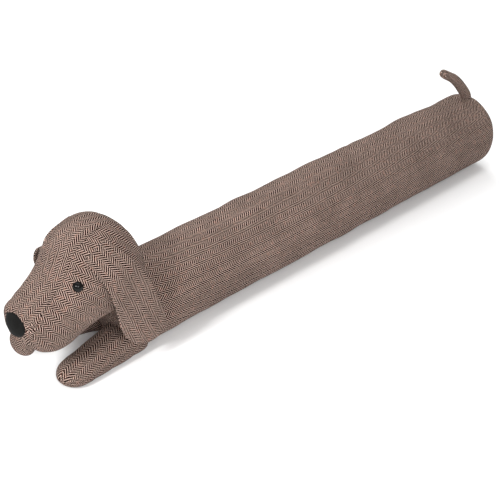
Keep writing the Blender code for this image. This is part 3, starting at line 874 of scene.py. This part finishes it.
@dataclass
class Head:
    """The stuffed head: two side panels and a top panel that runs from the nape over the muzzle."""

    sections: tuple = (
        HeadSection(along=0.0005, underside=0.0890, widest=0.1010, crown=0.1140, half_width=0.0170),
        HeadSection(along=0.0030, underside=0.0815, widest=0.0985, crown=0.1190, half_width=0.0265),
        HeadSection(along=0.0090, underside=0.0735, widest=0.0965, crown=0.1230, half_width=0.0325),
        HeadSection(along=0.0200, underside=0.0655, widest=0.0960, crown=0.1283, half_width=0.0372),
        HeadSection(along=0.0350, underside=0.0610, widest=0.0960, crown=0.1370, half_width=0.0408),
        HeadSection(along=0.0500, underside=0.0632, widest=0.0985, crown=0.1500, half_width=0.0433),
        HeadSection(along=0.0625, underside=0.0690, widest=0.1025, crown=0.1662, half_width=0.0453),
        HeadSection(along=0.0750, underside=0.0762, widest=0.1070, crown=0.1838, half_width=0.0473),
        HeadSection(along=0.0875, underside=0.0813, widest=0.1100, crown=0.1942, half_width=0.0492),
        HeadSection(along=0.1000, underside=0.0838, widest=0.1130, crown=0.1970, half_width=0.0507),
        HeadSection(along=0.1150, underside=0.0845, widest=0.1145, crown=0.1990, half_width=0.0517),
        HeadSection(along=0.1300, underside=0.0845, widest=0.1150, crown=0.1980, half_width=0.0512),
        HeadSection(along=0.1450, underside=0.0850, widest=0.1140, crown=0.1918, half_width=0.0482),
        HeadSection(along=0.1580, underside=0.0860, widest=0.1130, crown=0.1795, half_width=0.0428),
        HeadSection(along=0.1690, underside=0.0880, widest=0.1115, crown=0.1620, half_width=0.0342),
        HeadSection(along=0.1770, underside=0.0920, widest=0.1095, crown=0.1415, half_width=0.0225),
        HeadSection(along=0.1820, underside=0.0980, widest=0.1080, crown=0.1190, half_width=0.0090),
    )
    seam_path: tuple = (
        SeamPoint(along=0.0045, away=0.0000, up=0.0785),
        SeamPoint(along=0.0045, away=0.0110, up=0.0785),
        SeamPoint(along=0.0045, away=0.0200, up=0.0795),
        SeamPoint(along=0.0050, away=0.0230, up=0.0840),
        SeamPoint(along=0.0060, away=0.0290, up=0.0990),
        SeamPoint(along=0.0120, away=0.0310, up=0.1110),
        SeamPoint(along=0.0160, away=0.0290, up=0.1180),
        SeamPoint(along=0.0270, away=0.0270, up=0.1270),
        SeamPoint(along=0.0360, away=0.0250, up=0.1330),
        SeamPoint(along=0.0460, away=0.0240, up=0.1400),
        SeamPoint(along=0.0550, away=0.0240, up=0.1480),
        SeamPoint(along=0.0660, away=0.0240, up=0.1620),
        SeamPoint(along=0.0740, away=0.0230, up=0.1750),
        SeamPoint(along=0.0870, away=0.0230, up=0.1860),
        SeamPoint(along=0.1100, away=0.0200, up=0.1930),
        SeamPoint(along=0.1300, away=0.0170, up=0.1940),
        SeamPoint(along=0.1500, away=0.0150, up=0.1850),
        SeamPoint(along=0.1650, away=0.0130, up=0.1650),
        SeamPoint(along=0.1760, away=0.0100, up=0.1400),
    )
    seam_easing: int = 2
    crown_squareness: float = 2.8
    under_squareness: float = 3.6
    sides: int = 76
    spacing: float = 0.0038
    panel_slope_deg: float = 53.0
    eye_along: float = 0.0674
    eye_up: float = 0.1466
    eye_dimple: float = 1.3 * MM
    dimple_reach: float = 9 * MM
    front_crown: float = 0.8 * MM
    nape_crown: float = 1.0 * MM
    middle_room: float = 0.01 * MM
    even_share: float = 0.4
    even_along: float = 0.030
    chin_middle: tuple = (0.0100, 0.0, 0.0755)
    chin_size: tuple = (0.0140, 0.0190, 0.0180)
    chin_stretch: float = 1.2
    lip_half_length: float = 0.0235
    lip_along: float = 0.0035
    lip_bow: float = 0.0020
    lip_up: float = 0.0795
    lip_rise: float = 0.0015
    lip_radius: float = 0.0017
    lip_least: float = 0.02
    lip_flatness: float = 0.8
    lip_end: float = 0.3 * MM

    def ring(self, along: float) -> list:
        """Points (across, up) of the head's section at a distance behind the muzzle's tip."""
        section = smooth_between(self.sections, "along", along)
        points = []
        for i in range(self.sides):
            angle = math.tau * i / self.sides
            above = math.sin(angle) > 0
            power = 2 / (self.crown_squareness if above else self.under_squareness)
            reach = abs(section["crown" if above else "underside"] - section["widest"])
            across = section["half_width"] * signed_power(math.cos(angle), power)
            up = reach * signed_power(math.sin(angle), power)
            points.append((across, section["widest"] + up))
        return points

    def half_width_at(self, along: float, up: float) -> float:
        """Half the head's width at a point of its side view, or zero outside it."""
        if not self.sections[0].along < along < self.sections[-1].along:
            return 0.0
        section = smooth_between(self.sections, "along", along)
        if up > section["widest"]:
            share = (up - section["widest"]) / (section["crown"] - section["widest"])
            power = self.crown_squareness
        else:
            share = (section["widest"] - up) / (section["widest"] - section["underside"])
            power = self.under_squareness
        if share >= 1.0:
            return 0.0
        return section["half_width"] * (1 - share**power) ** (1 / power)

    def stations(self) -> list:
        """Distances of the head's rings behind the muzzle's tip, closer at both ends."""
        first = self.sections[0].along
        last = self.sections[-1].along
        count = round((last - first) / self.spacing)
        found = []
        for i in range(count + 1):
            eased = (1 - math.cos(math.pi * i / count)) / 2
            share = self.even_share * i / count + (1 - self.even_share) * eased
            found.append(first + (last - first) * share)
        return found

    def side_cloth(self, lengths: np.ndarray, ring: Sequence[tuple]) -> list:
        """Flat cloth coordinates of a ring on the side panels, turned to the panel's own grain."""
        count = self.sides
        slope = math.radians(self.panel_slope_deg)
        quarter = count // 4
        found = [None] * count
        for sign, start in ((1, 0), (-1, count // 2)):
            for direction in (1, -1):
                run = 0.0
                previous = ring[start]
                for step in range(quarter + 1):
                    index = (start + sign * direction * step) % count
                    point = ring[index]
                    run += math.hypot(point[0] - previous[0], point[1] - previous[1])
                    previous = point
                    height = run * direction
                    found[index] = (
                        lengths[index] * math.cos(slope) - height * math.sin(slope),
                        lengths[index] * math.sin(slope) + height * math.cos(slope),
                    )
        return found

    def top_profile(self) -> tuple:
        """The head's middle line from under the muzzle over the crown, and the lengths along it."""
        first = self.sections[0]
        length = self.sections[-1].along - first.along
        under = [(along, "underside") for along in (0.020, 0.012, 0.006, 0.003, first.along)]
        over = [(first.along + length * i / 60, "crown") for i in range(61)]
        line = []
        for along, part in under + over:
            height = smooth_between(self.sections, "along", along)[part]
            line.append(Vector((along, 0.0, height)))
        line.insert(len(under), Vector((first.along - self.front_crown, 0.0, first.widest)))
        fine = []
        for a, b in zip(line, line[1:]):
            fine += [a.lerp(b, t / 6) for t in range(6)]
        return nearest_of(fine), ring_lengths(fine)

    def seam_samples(self, bm: bmesh.types.BMesh) -> list:
        """Points on both seams with the direction that leads onto the side panel."""
        surface = BVHTree.FromBMesh(bm)
        samples = []
        for side in (-1, 1):
            line = []
            path = [Vector(point) for point in self.seam_path]
            for _ in range(self.seam_easing):
                cut = [path[0]]
                for a, b in zip(path, path[1:]):
                    cut += [a.lerp(b, 0.25), a.lerp(b, 0.75)]
                path = cut + [path[-1]]
            for a, b in zip(path, path[1:]):
                for t in range(3):
                    mix = a.lerp(b, t / 3)
                    spot, normal, _, _ = surface.find_nearest(world(mix[0], side * mix[1], mix[2]))
                    line.append((spot, normal))
            for i, (spot, normal) in enumerate(line):
                tangent = line[min(i + 1, len(line) - 1)][0] - line[max(i - 1, 0)][0]
                outward = normal.cross(tangent) * side
                samples.append((spot, outward.normalized()))
        return samples

    def cover(self) -> bmesh.types.BMesh:
        """The head's cover, as a closed mesh with both panels' cloth coordinates."""
        profile, profile_lengths = self.top_profile()
        rings = []
        stations = self.stations()
        sections = [self.ring(along) for along in stations]
        lines = np.array(
            [[(along, *spot) for spot in ring] for along, ring in zip(stations, sections)]
        )
        steps = np.linalg.norm(np.diff(lines, axis=0), axis=2)
        runs = np.vstack([np.zeros(len(sections[0])), np.cumsum(steps, axis=0)])
        even = next(i for i, along in enumerate(stations) if along > self.even_along)
        runs += runs[even][0] - runs[even]
        for along, ring, lengths in zip(stations, sections, runs):
            side = self.side_cloth(lengths, ring)
            points = []
            for (across, up), flat in zip(ring, side):
                _, index, _ = profile.find(Vector((along, 0.0, up)))
                top = (profile_lengths[index], across)
                points.append(ClothPoint(world(along, across, up), flat, top, NO_SEAM))
            rings.append(points)
        front = self.sections[0]
        nape = self.sections[-1]
        tip = world(front.along - self.front_crown, 0.0, front.widest)
        end = world(nape.along + self.nape_crown, 0.0, nape.widest)
        bm = skin(rings, ClothPoint(tip, (0, 0), (0, 0), NO_SEAM), ClothPoint(end, (0, 0), (0, 0), NO_SEAM))
        samples = self.seam_samples(bm)
        nearest = nearest_of([spot for spot, _ in samples])
        seam = bm.verts.layers.float[SEAM]
        for vertex in bm.verts:
            spot, index, distance = nearest.find(vertex.co)
            onward = (vertex.co - spot).dot(samples[index][1])
            vertex[seam] = math.copysign(distance, onward)
        self.cut_sides(bm)
        return bm

    def cut_sides(self, bm: bmesh.types.BMesh) -> None:
        """Ease each side panel's cloth coordinates to the lengths that it has on the head."""
        seam = bm.verts.layers.float[SEAM]
        main = bm.verts.layers.float_vector[MAIN_PANEL]
        for side in (1, -1):
            near = [v for v in bm.verts if (v.co.y - ORIGIN.y) * side > -self.middle_room]
            panel = [v for v in near if v[seam] > -self.spacing]
            links = face_links(bm, {v: i for i, v in enumerate(panel)})
            places = np.array([v.co for v in panel])
            flat = np.array([v[main][:2] for v in panel])
            eased = relax_flat(places, flat, links)
            for vertex, spot in zip(panel, eased):
                vertex[main] = (spot[0], spot[1], 0.0)

    def build(self, wardrobe: Wardrobe) -> bpy.types.Object:
        """Sew, fill and dress the head."""
        piece = to_object(self.cover(), "head_cover")
        Stuffing(pressure=4.0, cap=2.0 * MM, seam_pull=0.08).fill(piece)
        away = self.half_width_at(self.eye_along, self.eye_up)
        eyes = [world(self.eye_along, side.value * away, self.eye_up) for side in Side]

        def relief(place: Vector, normal: Vector, seam: float) -> float:
            """Seams, the eyes' stitched dimples and a little unevenness."""
            soft = lump(place, 0.040, 0.8 * MM, 5.3)
            near = sum(math.exp(-(((place - eye).length / self.dimple_reach) ** 2)) for eye in eyes)
            return soft - self.eye_dimple * near + seam_relief(seam, place, 0.9 * MM, 0.5 * MM)

        ease(piece, relief)
        surface = BVHTree.FromPolygons(
            [vertex.co for vertex in piece.data.vertices], [face.vertices for face in piece.data.polygons]
        )
        subdivide(piece, 1)
        dress(piece, wardrobe.tweed, "tweed", "head")
        self.build_chin(wardrobe)
        self.build_lip(wardrobe, surface)
        return piece

    def build_chin(self, wardrobe: Wardrobe) -> None:
        """The small stuffed chin that shows under the front of the muzzle."""
        middle = self.chin_middle
        size = self.chin_size
        rings = []
        count = 40
        steps = 20
        for i in range(1, steps):
            turn = math.pi * i / steps
            ring = []
            for k in range(count):
                angle = math.tau * k / count
                up = middle[2] + size[2] * math.sin(turn) * math.sin(angle)
                along = middle[0] + size[0] * math.sin(turn) * math.cos(angle)
                across = -size[1] * math.cos(turn)
                flat = (abs(angle - math.pi) * size[2], across * self.chin_stretch)
                ring.append(ClothPoint(world(along, across, up), flat, flat, NO_SEAM))
            rings.append(ring)
        ends = []
        for across in (-size[1], size[1]):
            flat = (0.0, across * self.chin_stretch)
            ends.append(ClothPoint(world(middle[0], across, middle[2]), flat, (0.0, 0.0), NO_SEAM))
        piece = to_object(skin(rings, *ends), "chin_cover")
        ease(piece, lambda place, normal, seam: lump(place, 0.012, 0.5 * MM, 1.9))
        subdivide(piece, 1)
        dress(piece, wardrobe.tweed, "tweed")

    def build_lip(self, wardrobe: Wardrobe, surface: BVHTree) -> None:
        """The turned edge of cloth that stands proud along the front of the muzzle's underside."""
        count = 16
        steps = 30
        rings = []
        middles = []
        for i in range(steps + 1):
            share = 2 * i / steps - 1
            across = self.lip_half_length * share
            back = self.lip_along + self.lip_bow * share**2
            up = self.lip_up + self.lip_rise * share**2
            middle = surface.find_nearest(world(back, across, up))[0]
            middles.append(middle)
            thick = self.lip_radius * math.sqrt(max(1 - share**4, self.lip_least))
            ring = []
            for k in range(count):
                angle = math.tau * k / count
                rise = self.lip_flatness * thick * math.sin(angle)
                spot = middle + Vector((thick * math.cos(angle), 0.0, rise))
                flat = (across, angle * thick)
                ring.append(ClothPoint(spot, flat, flat, NO_SEAM))
            rings.append(ring)
        ends = []
        for middle, share in ((middles[0], -1), (middles[-1], 1)):
            spot = middle + Vector((0.0, share * self.lip_end, 0.0))
            ends.append(ClothPoint(spot, (share * self.lip_half_length, 0.0), (0.0, 0.0), NO_SEAM))
        piece = to_object(skin(rings, *ends), "lip_fold")
        subdivide(piece, 1)
        dress(piece, wardrobe.tweed, "tweed")


class EarRow(NamedTuple):
    """A line across the ear from its front edge to its back edge, in the side view."""

    front_along: float
    front_up: float
    back_along: float
    back_up: float


@dataclass
class Ear:
    """A turned double-cloth ear that hangs over the head and the body's side."""

    side: Side
    head: Head
    body: BodyTube
    forward: float
    flare: float
    lift: float
    hug_rows: int = 4
    thickness: float = 3.6 * MM
    clearance: float = 4.4 * MM
    sewn_depth: float = -0.6 * MM
    back_flare: float = 4.0 * MM
    grain_lean_deg: float = 6.0
    rows: int = 44
    columns: int = 26
    easing_passes: int = 40
    ramp_rows: int = 5
    lying_room: float = 0.4 * MM
    swing_rate: float = 2.5
    swell_power: float = 0.6
    rim_seam: float = 6.0 * MM
    rim_step: float = 2.2 * MM
    shape: tuple = (
        EarRow(front_along=0.0820, front_up=0.1750, back_along=0.1140, back_up=0.1895),
        EarRow(front_along=0.0830, front_up=0.1680, back_along=0.1250, back_up=0.1760),
        EarRow(front_along=0.0870, front_up=0.1570, back_along=0.1365, back_up=0.1620),
        EarRow(front_along=0.0930, front_up=0.1440, back_along=0.1480, back_up=0.1440),
        EarRow(front_along=0.0985, front_up=0.1290, back_along=0.1580, back_up=0.1240),
        EarRow(front_along=0.1030, front_up=0.1110, back_along=0.1650, back_up=0.1050),
        EarRow(front_along=0.1070, front_up=0.0920, back_along=0.1700, back_up=0.0870),
        EarRow(front_along=0.1100, front_up=0.0730, back_along=0.1740, back_up=0.0700),
        EarRow(front_along=0.1165, front_up=0.0560, back_along=0.1765, back_up=0.0545),
        EarRow(front_along=0.1260, front_up=0.0445, back_along=0.1725, back_up=0.0430),
        EarRow(front_along=0.1370, front_up=0.0380, back_along=0.1640, back_up=0.0375),
        EarRow(front_along=0.1460, front_up=0.0350, back_along=0.1560, back_up=0.0350),
    )

    def body_half_width(self, along: float, up: float) -> float:
        """Half the body's width at a height, or zero outside it."""
        body = self.body
        if not body.front < along < body.rear:
            return 0.0
        middle = body.height / 2
        share = (up - middle) / (middle if up > middle else middle + body.sag)
        return 0.0 if abs(share) >= 1.0 else body.half_width * math.sqrt(1 - share**2)

    def drape_distance(self, along: float, up: float, off: float) -> float:
        """How far from the middle plane a layer lies that hangs off the surface of head and body."""
        step = 0.002
        head = self.head.half_width_at
        width = max(head(along, up), self.body_half_width(along, up))
        slope_up = (head(along, up + step) - head(along, up - step)) / (2 * step)
        slope_along = (head(along + step, up) - head(along - step, up)) / (2 * step)
        lean = math.sqrt(1 + min(slope_up**2, 4.0) + min(slope_along**2, 1.0))
        return width + off * lean

    def side_view(self, i: int, j: int) -> tuple:
        """Place (along, up) of one point of the ear's grid."""
        place = (len(self.shape) - 1) * i / (self.rows - 1)
        index = min(int(place), len(self.shape) - 2)
        share = place - index
        mixed = [a + (b - a) * share for a, b in zip(self.shape[index], self.shape[index + 1])]
        t = j / (self.columns - 1)
        down = i / (self.rows - 1)
        swing = min(self.swing_rate * down, 1.0)
        along = mixed[0] + (mixed[2] - mixed[0]) * t - self.forward * swing
        return along, mixed[1] + (mixed[3] - mixed[1]) * t + self.lift * down**2

    def middle_layer(self) -> list:
        """Rows of points (along, away, up), from the sewn edge down to the tip."""
        least = []
        for i in range(self.rows):
            row = []
            for j in range(self.columns):
                along, up = self.side_view(i, j)
                ramp = min(max(i - self.hug_rows, 0) / self.ramp_rows, 1.0)
                off = self.sewn_depth + (self.clearance - self.sewn_depth) * ramp
                away = self.drape_distance(along, up, off)
                if i > 0:
                    away = max(away, least[-1][j])
                row.append(away)
            least.append(row)
        away = np.array(least)
        floor = away.copy()
        for _ in range(self.easing_passes):
            padded = np.pad(away, 1, mode="edge")
            mean = (padded[:-2, 1:-1] + padded[2:, 1:-1] + padded[1:-1, :-2] + padded[1:-1, 2:]) / 4
            eased = np.maximum(floor, mean)
            lying = self.hug_rows
            eased[:lying] = np.minimum(eased[:lying], floor[:lying] + self.lying_room)
            away = eased
        rows = []
        for i in range(self.rows):
            row = []
            for j in range(self.columns):
                along, up = self.side_view(i, j)
                t = j / (self.columns - 1)
                free = max(i - self.hug_rows, 0) / (self.rows - 1 - self.hug_rows)
                swell = math.sin(math.pi * free**self.swell_power)
                flare = (self.back_flare * t**2 + self.flare * (1 - t)) * swell
                row.append(Vector((along, float(away[i][j]) + flare, up)))
            rows.append(row)
        return rows

    def build(self, wardrobe: Wardrobe) -> bpy.types.Object:
        """Cut, turn, hang and dress the ear."""
        grid = self.middle_layer()
        bm = bmesh.new()
        main = bm.verts.layers.float_vector.new(MAIN_PANEL)
        other = bm.verts.layers.float_vector.new(OTHER_PANEL)
        seam = bm.verts.layers.float.new(SEAM)
        bmesh.ops.create_grid(bm, x_segments=self.columns - 1, y_segments=self.rows - 1, size=1.0)
        places = np.zeros((self.rows * self.columns, 3))
        starts = np.zeros((self.rows * self.columns, 2))
        owners = [None] * len(places)
        drop = ring_lengths([row[self.columns // 2] for row in grid])
        root = grid[0][self.columns // 2]
        tip = grid[-1][self.columns // 2]
        slope = math.atan2(drop[-1], tip.x - root.x) - math.radians(self.grain_lean_deg)
        for vertex in bm.verts:
            j = round((vertex.co.x + 1) / 2 * (self.columns - 1))
            i = round((1 - vertex.co.y) / 2 * (self.rows - 1))
            point = grid[i][j]
            flat = (
                (point.x - root.x) * math.cos(slope) + drop[i] * math.sin(slope),
                (point.x - root.x) * math.sin(slope) - drop[i] * math.cos(slope),
            )
            number = i * self.columns + j
            starts[number] = flat
            rim = min(i, self.rows - 1 - i, j, self.columns - 1 - j)
            vertex.co = world(point.x, point.y * self.side.value, point.z)
            places[number] = vertex.co
            owners[number] = vertex
            vertex[seam] = self.rim_seam + rim * self.rim_step
        links = face_links(bm, {vertex: i for i, vertex in enumerate(owners)})
        eased = relax_flat(places, starts, links)
        for vertex, spot in zip(owners, eased):
            vertex[main] = (spot[0], spot[1], 0.0)
            vertex[other] = (spot[0], spot[1], 0.0)
        bmesh.ops.recalc_face_normals(bm, faces=bm.faces)
        piece = to_object(bm, "ear_%s_cloth" % self.side.word)
        double = piece.modifiers.new("double_cloth", "SOLIDIFY")
        double.thickness = self.thickness
        double.offset = 0.0
        subdivide(piece, 1)
        dress(piece, wardrobe.tweed, "tweed", "ear_" + self.side.word)
        return piece


@dataclass
class Paw:
    """A stuffed front paw that lies on the floor, with a round tip and a seam round its edge."""

    side: Side
    tip: tuple
    root: tuple
    tip_half_width: float
    root_half_width: float
    root_height: float
    tip_height: float = 0.0290
    sag: float = 0.0025
    sides: int = 44
    spacing: float = 0.0040
    tip_steps: int = 9
    tip_turn_deg: float = 84.0
    tip_step_deg: float = 9.6
    seam_shift: float = 0.4 * MM

    def cover(self) -> bmesh.types.BMesh:
        """The paw's cover, as a closed mesh."""
        start = Vector((self.tip[0], self.tip[1], 0.0))
        line = Vector((self.root[0], self.root[1], 0.0)) - start
        forward = -line.normalized()
        across = Vector((-forward.y, forward.x, 0.0))
        places = []
        for i in range(self.tip_steps):
            turn = math.radians(self.tip_turn_deg - self.tip_step_deg * i)
            places.append((start + forward * self.tip_half_width * math.sin(turn), math.cos(turn), 0.0))
        count = round(line.length / self.spacing)
        for i in range(count + 1):
            places.append((start + line * (i / count), 1.0, i / count))
        rings = []
        for centre, size, share in places:
            half_width = self.tip_half_width + (self.root_half_width - self.tip_half_width) * share
            height = self.tip_height + (self.root_height - self.tip_height) * share
            length = (centre - start).dot(-forward)
            middle = height / 2
            ring = []
            for k in range(self.sides):
                angle = math.tau * k / self.sides
                reach = middle if math.sin(angle) > 0 else middle + self.sag
                a = half_width * size * math.cos(angle)
                up = max(middle + reach * size * math.sin(angle), 0.0)
                from_top = abs(math.pi / 2 - angle)
                from_top = min(from_top, math.tau - from_top)
                flat = (length, from_top * (half_width + middle) / 2 * size)
                place = centre + across * a + Vector((0.0, 0.0, up))
                edge = abs(from_top - math.pi / 2) * (half_width + middle) / 2
                edge = edge if from_top < math.pi / 2 else -edge
                ring.append(ClothPoint(world(*place), flat, flat, edge + self.seam_shift))
            rings.append(ring)
        nose = start + forward * self.tip_half_width
        end = start + line
        front = world(nose.x, nose.y, self.tip_height / 2)
        back = world(end.x, end.y, self.root_height / 2)
        first = ClothPoint(front, (-self.tip_half_width, 0.0), (0, 0), 0.0)
        last = ClothPoint(back, (line.length, 0.0), (0, 0), NO_SEAM)
        return skin(rings, first, last)

    def build(self, wardrobe: Wardrobe) -> bpy.types.Object:
        """Sew, fill and dress the paw."""
        piece = to_object(self.cover(), "paw_%s_cover" % self.side.word)
        Stuffing(pressure=4.0, cap=1.5 * MM, seam_pull=0.06).fill(piece)

        def relief(place: Vector, normal: Vector, seam: float) -> float:
            """The edge seam and a little unevenness."""
            return lump(place, 0.022, 0.6 * MM, 4.4) + seam_relief(seam, place, 0.5 * MM, 0.4 * MM)

        ease(piece, relief)
        subdivide(piece, 1)
        dress(piece, wardrobe.tweed, "tweed", "paw_" + self.side.word)
        return piece


@dataclass
class Tail:
    """A thin stuffed tail that rises from the rear of the body and curls forward."""

    radius: float = 0.0090
    tip_radius: float = 0.0072
    sides: int = 24
    rings: int = 46
    path: tuple = (
        (0.8480, 0.1020),
        (0.8455, 0.1170),
        (0.8360, 0.1300),
        (0.8235, 0.1440),
        (0.8090, 0.1570),
        (0.7940, 0.1665),
        (0.7840, 0.1728),
    )

    def place(self, share: float) -> tuple:
        """Point and direction of the tail's middle line at a share of its path."""
        last = len(self.path) - 1
        index = min(int(share * last), last - 1)
        t = share * last - index
        a, b, c, d = (
            Vector((self.path[k][0], 0.0, self.path[k][1]))
            for k in (max(index - 1, 0), index, index + 1, min(index + 2, last))
        )
        bend = 2 * a - 5 * b + 4 * c - d
        twist = 3 * b - a - 3 * c + d
        point = 0.5 * (2 * b + (c - a) * t + bend * t**2 + twist * t**3)
        slope = 0.5 * ((c - a) + 2 * bend * t + 3 * twist * t**2)
        return point, slope.normalized()

    def build(self, wardrobe: Wardrobe) -> bpy.types.Object:
        """Sew, fill and dress the tail."""
        sideways = Vector((0.0, 1.0, 0.0))
        places = []
        for i in range(self.rings):
            share = i / (self.rings - 1)
            point, direction = self.place(share)
            places.append((point, direction, self.radius + (self.tip_radius - self.radius) * share))
        end, direction = self.place(1.0)
        for angle in (15, 30, 45, 60, 72, 82):
            turn = math.radians(angle)
            spot = end + direction * self.tip_radius * math.sin(turn)
            places.append((spot, direction, self.tip_radius * math.cos(turn)))
        rings = []
        length = 0.0
        previous = places[0][0]
        for point, along, radius in places:
            length += (point - previous).length
            previous = point
            upward = along.cross(sideways)
            ring = []
            for k in range(self.sides):
                angle = math.tau * k / self.sides
                spot = point + sideways * radius * math.cos(angle) + upward * radius * math.sin(angle)
                turned = min(angle, math.tau - angle) * radius
                under = min(abs(angle - 1.5 * math.pi), abs(angle - 0.5 * math.pi)) * radius
                ring.append(ClothPoint(world(*spot), (length, turned), (length, turned), under))
            rings.append(ring)
        start = self.place(0.0)[0]
        tip = end + direction * self.tip_radius
        first = ClothPoint(world(*start), (0.0, 0.0), (0.0, 0.0), NO_SEAM)
        last = ClothPoint(world(*tip), (length, 0.0), (length, 0.0), NO_SEAM)
        piece = to_object(skin(rings, first, last), "tail_cover")

        def unevenness(place: Vector, normal: Vector, seam: float) -> float:
            """The two seams and a little unevenness."""
            return lump(place, 0.014, 0.4 * MM, 2.2) + seam_relief(seam, place, 0.6 * MM, 0.3 * MM)

        ease(piece, unevenness)
        subdivide(piece, 1)
        dress(piece, wardrobe.tweed, "tweed", "tail")
        return piece


@dataclass
class Face:
    """The felt nose pad and the two bead eyes."""

    head: Head
    nose_middle: tuple = (0.0072, -0.0022, 0.1042)
    nose_size: tuple = (0.0130, 0.0212, 0.0166)
    nose_taper: float = 0.2
    nose_lean_deg: float = 12.0
    eye_radius: float = 0.0066
    eye_spots: ClassVar[dict] = {Side.LEFT: (0.0674, 0.1466, 0.0014), Side.RIGHT: (0.0745, 0.1400, 0.0040)}

    def ball(self, name: str, middle: tuple, size: tuple, taper: float, lean_deg: float) -> bpy.types.Object:
        """A closed egg shape, wider at its top by its taper and leaning back."""
        bm = bmesh.new()
        bmesh.ops.create_uvsphere(bm, u_segments=56, v_segments=36, radius=1.0)
        for vertex in bm.verts:
            vertex.co.y *= 1 + taper * vertex.co.z
        bmesh.ops.scale(bm, verts=bm.verts, vec=size)
        lean = Matrix.Rotation(math.radians(lean_deg), 3, "Y")
        bmesh.ops.rotate(bm, verts=bm.verts, cent=(0, 0, 0), matrix=lean)
        bmesh.ops.translate(bm, verts=bm.verts, vec=world(*middle))
        return to_object(bm, name)

    def build(self, wardrobe: Wardrobe) -> None:
        """Cut, place and dress the nose and eyes."""
        nose = self.ball("nose_pad", self.nose_middle, self.nose_size, self.nose_taper, self.nose_lean_deg)
        dress(nose, wardrobe.felt, "nose_cloth", "nose")
        for side in Side:
            along, up, sunk = self.eye_spots[side]
            away = self.head.half_width_at(along, up) - sunk
            spot = (along, side.value * away, up)
            eye = self.ball("eye_%s_bead" % side.word, spot, (self.eye_radius,) * 3, 0.0, 0.0)
            dress(eye, wardrobe.bead, "eye_bead", "eye_" + side.word)


@dataclass
class Studio:
    """Plain pale floor, soft light and the camera at the photograph's viewing angle."""

    camera_place: tuple = (-0.53589, -0.96698, 0.91755)
    azimuth_deg: float = 46.596
    elevation_deg: float = 33.5
    lens: float = 83.16
    floor_half_size: float = 6.0
    sky_strength: float = 0.45

    def build(self) -> None:
        """Make the floor, the lights and the camera."""
        bm = bmesh.new()
        bmesh.ops.create_grid(bm, x_segments=2, y_segments=2, size=self.floor_half_size)
        floor = to_object(bm, "studio_floor")
        floor.data.materials.append(PaleFloor().material())
        scene = bpy.context.scene
        sky = bpy.data.worlds.new("soft_white")
        sky.use_nodes = True
        background = sky.node_tree.nodes["Background"]
        background.inputs["Color"].default_value = (1.0, 1.0, 1.0, 1.0)
        background.inputs["Strength"].default_value = self.sky_strength
        scene.world = sky
        self.lamp("top_light", (0.4, 0.0, 2.0), 1.6, 12.0)
        self.lamp("key_light", (-1.65, -0.24, 1.20), 0.30, 23.0)
        self.lamp("camera_fill", (-0.9, -1.4, 1.15), 0.7, 25.0)
        self.lamp("floor_light", (0.9, 2.4, 2.6), 2.5, 90.0, target=(0.9, 2.4, 0.0))
        scene.view_settings.view_transform = "Standard"
        self.camera()

    def lamp(
        self, name: str, place: tuple, size: float, power: float, target: tuple = (0.0, 0.0, 0.05)
    ) -> None:
        """A soft square lamp of a size in metres and a power in watts, that faces its target."""
        light = bpy.data.lights.new(name, "AREA")
        light.size = size
        light.energy = power
        lamp = bpy.data.objects.new(name, light)
        lamp.location = place
        lamp.rotation_euler = (Vector(target) - Vector(place)).to_track_quat("-Z", "Y").to_euler()
        bpy.context.scene.collection.objects.link(lamp)

    def camera(self) -> None:
        """The camera, level and without shift."""
        turn = math.radians(self.azimuth_deg)
        fall = math.radians(self.elevation_deg)
        right = Vector((math.sin(turn), -math.cos(turn), 0.0))
        level = Vector((math.cos(turn), math.sin(turn), 0.0))
        ahead = level * math.cos(fall) + Vector((0.0, 0.0, -math.sin(fall)))
        upward = right.cross(ahead)
        data = bpy.data.cameras.new("product_camera")
        data.lens = self.lens
        data.sensor_width = 36.0
        data.clip_start = 0.05
        data.clip_end = 50.0
        eye = bpy.data.objects.new("product_camera", data)
        axes = Matrix((right, upward, -ahead)).transposed().to_4x4()
        eye.matrix_world = Matrix.Translation(world(*self.camera_place)) @ axes
        bpy.context.scene.collection.objects.link(eye)
        bpy.context.scene.camera = eye


def main() -> None:
    """Build every sub-assembly in the order in which it is sewn on."""
    logging.basicConfig(level=logging.INFO, format="%(message)s")
    wardrobe = Wardrobe(HerringboneTweed().material(), WoolFelt().material(), PolishedBead().material())
    body = BodyTube()
    head = Head()
    body.build(wardrobe)
    head.build(wardrobe)
    Face(head).build(wardrobe)
    Ear(Side.LEFT, head, body, forward=0.0, flare=0.0035, lift=0.0).build(wardrobe)
    Ear(Side.RIGHT, head, body, forward=0.0230, flare=0.0160, lift=0.0190, hug_rows=9).build(wardrobe)
    Paw(
        Side.LEFT,
        tip=(0.0615, -0.0240),
        root=(0.1600, -0.0165),
        tip_half_width=0.0245,
        root_half_width=0.0310,
        root_height=0.0470,
    ).build(wardrobe)
    Paw(
        Side.RIGHT,
        tip=(0.0810, 0.0740),
        root=(0.1600, 0.0480),
        tip_half_width=0.0240,
        root_half_width=0.0250,
        root_height=0.0310,
    ).build(wardrobe)
    Tail().build(wardrobe)
    Studio().build()
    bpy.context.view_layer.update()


if __name__ == "__main__":
    main()
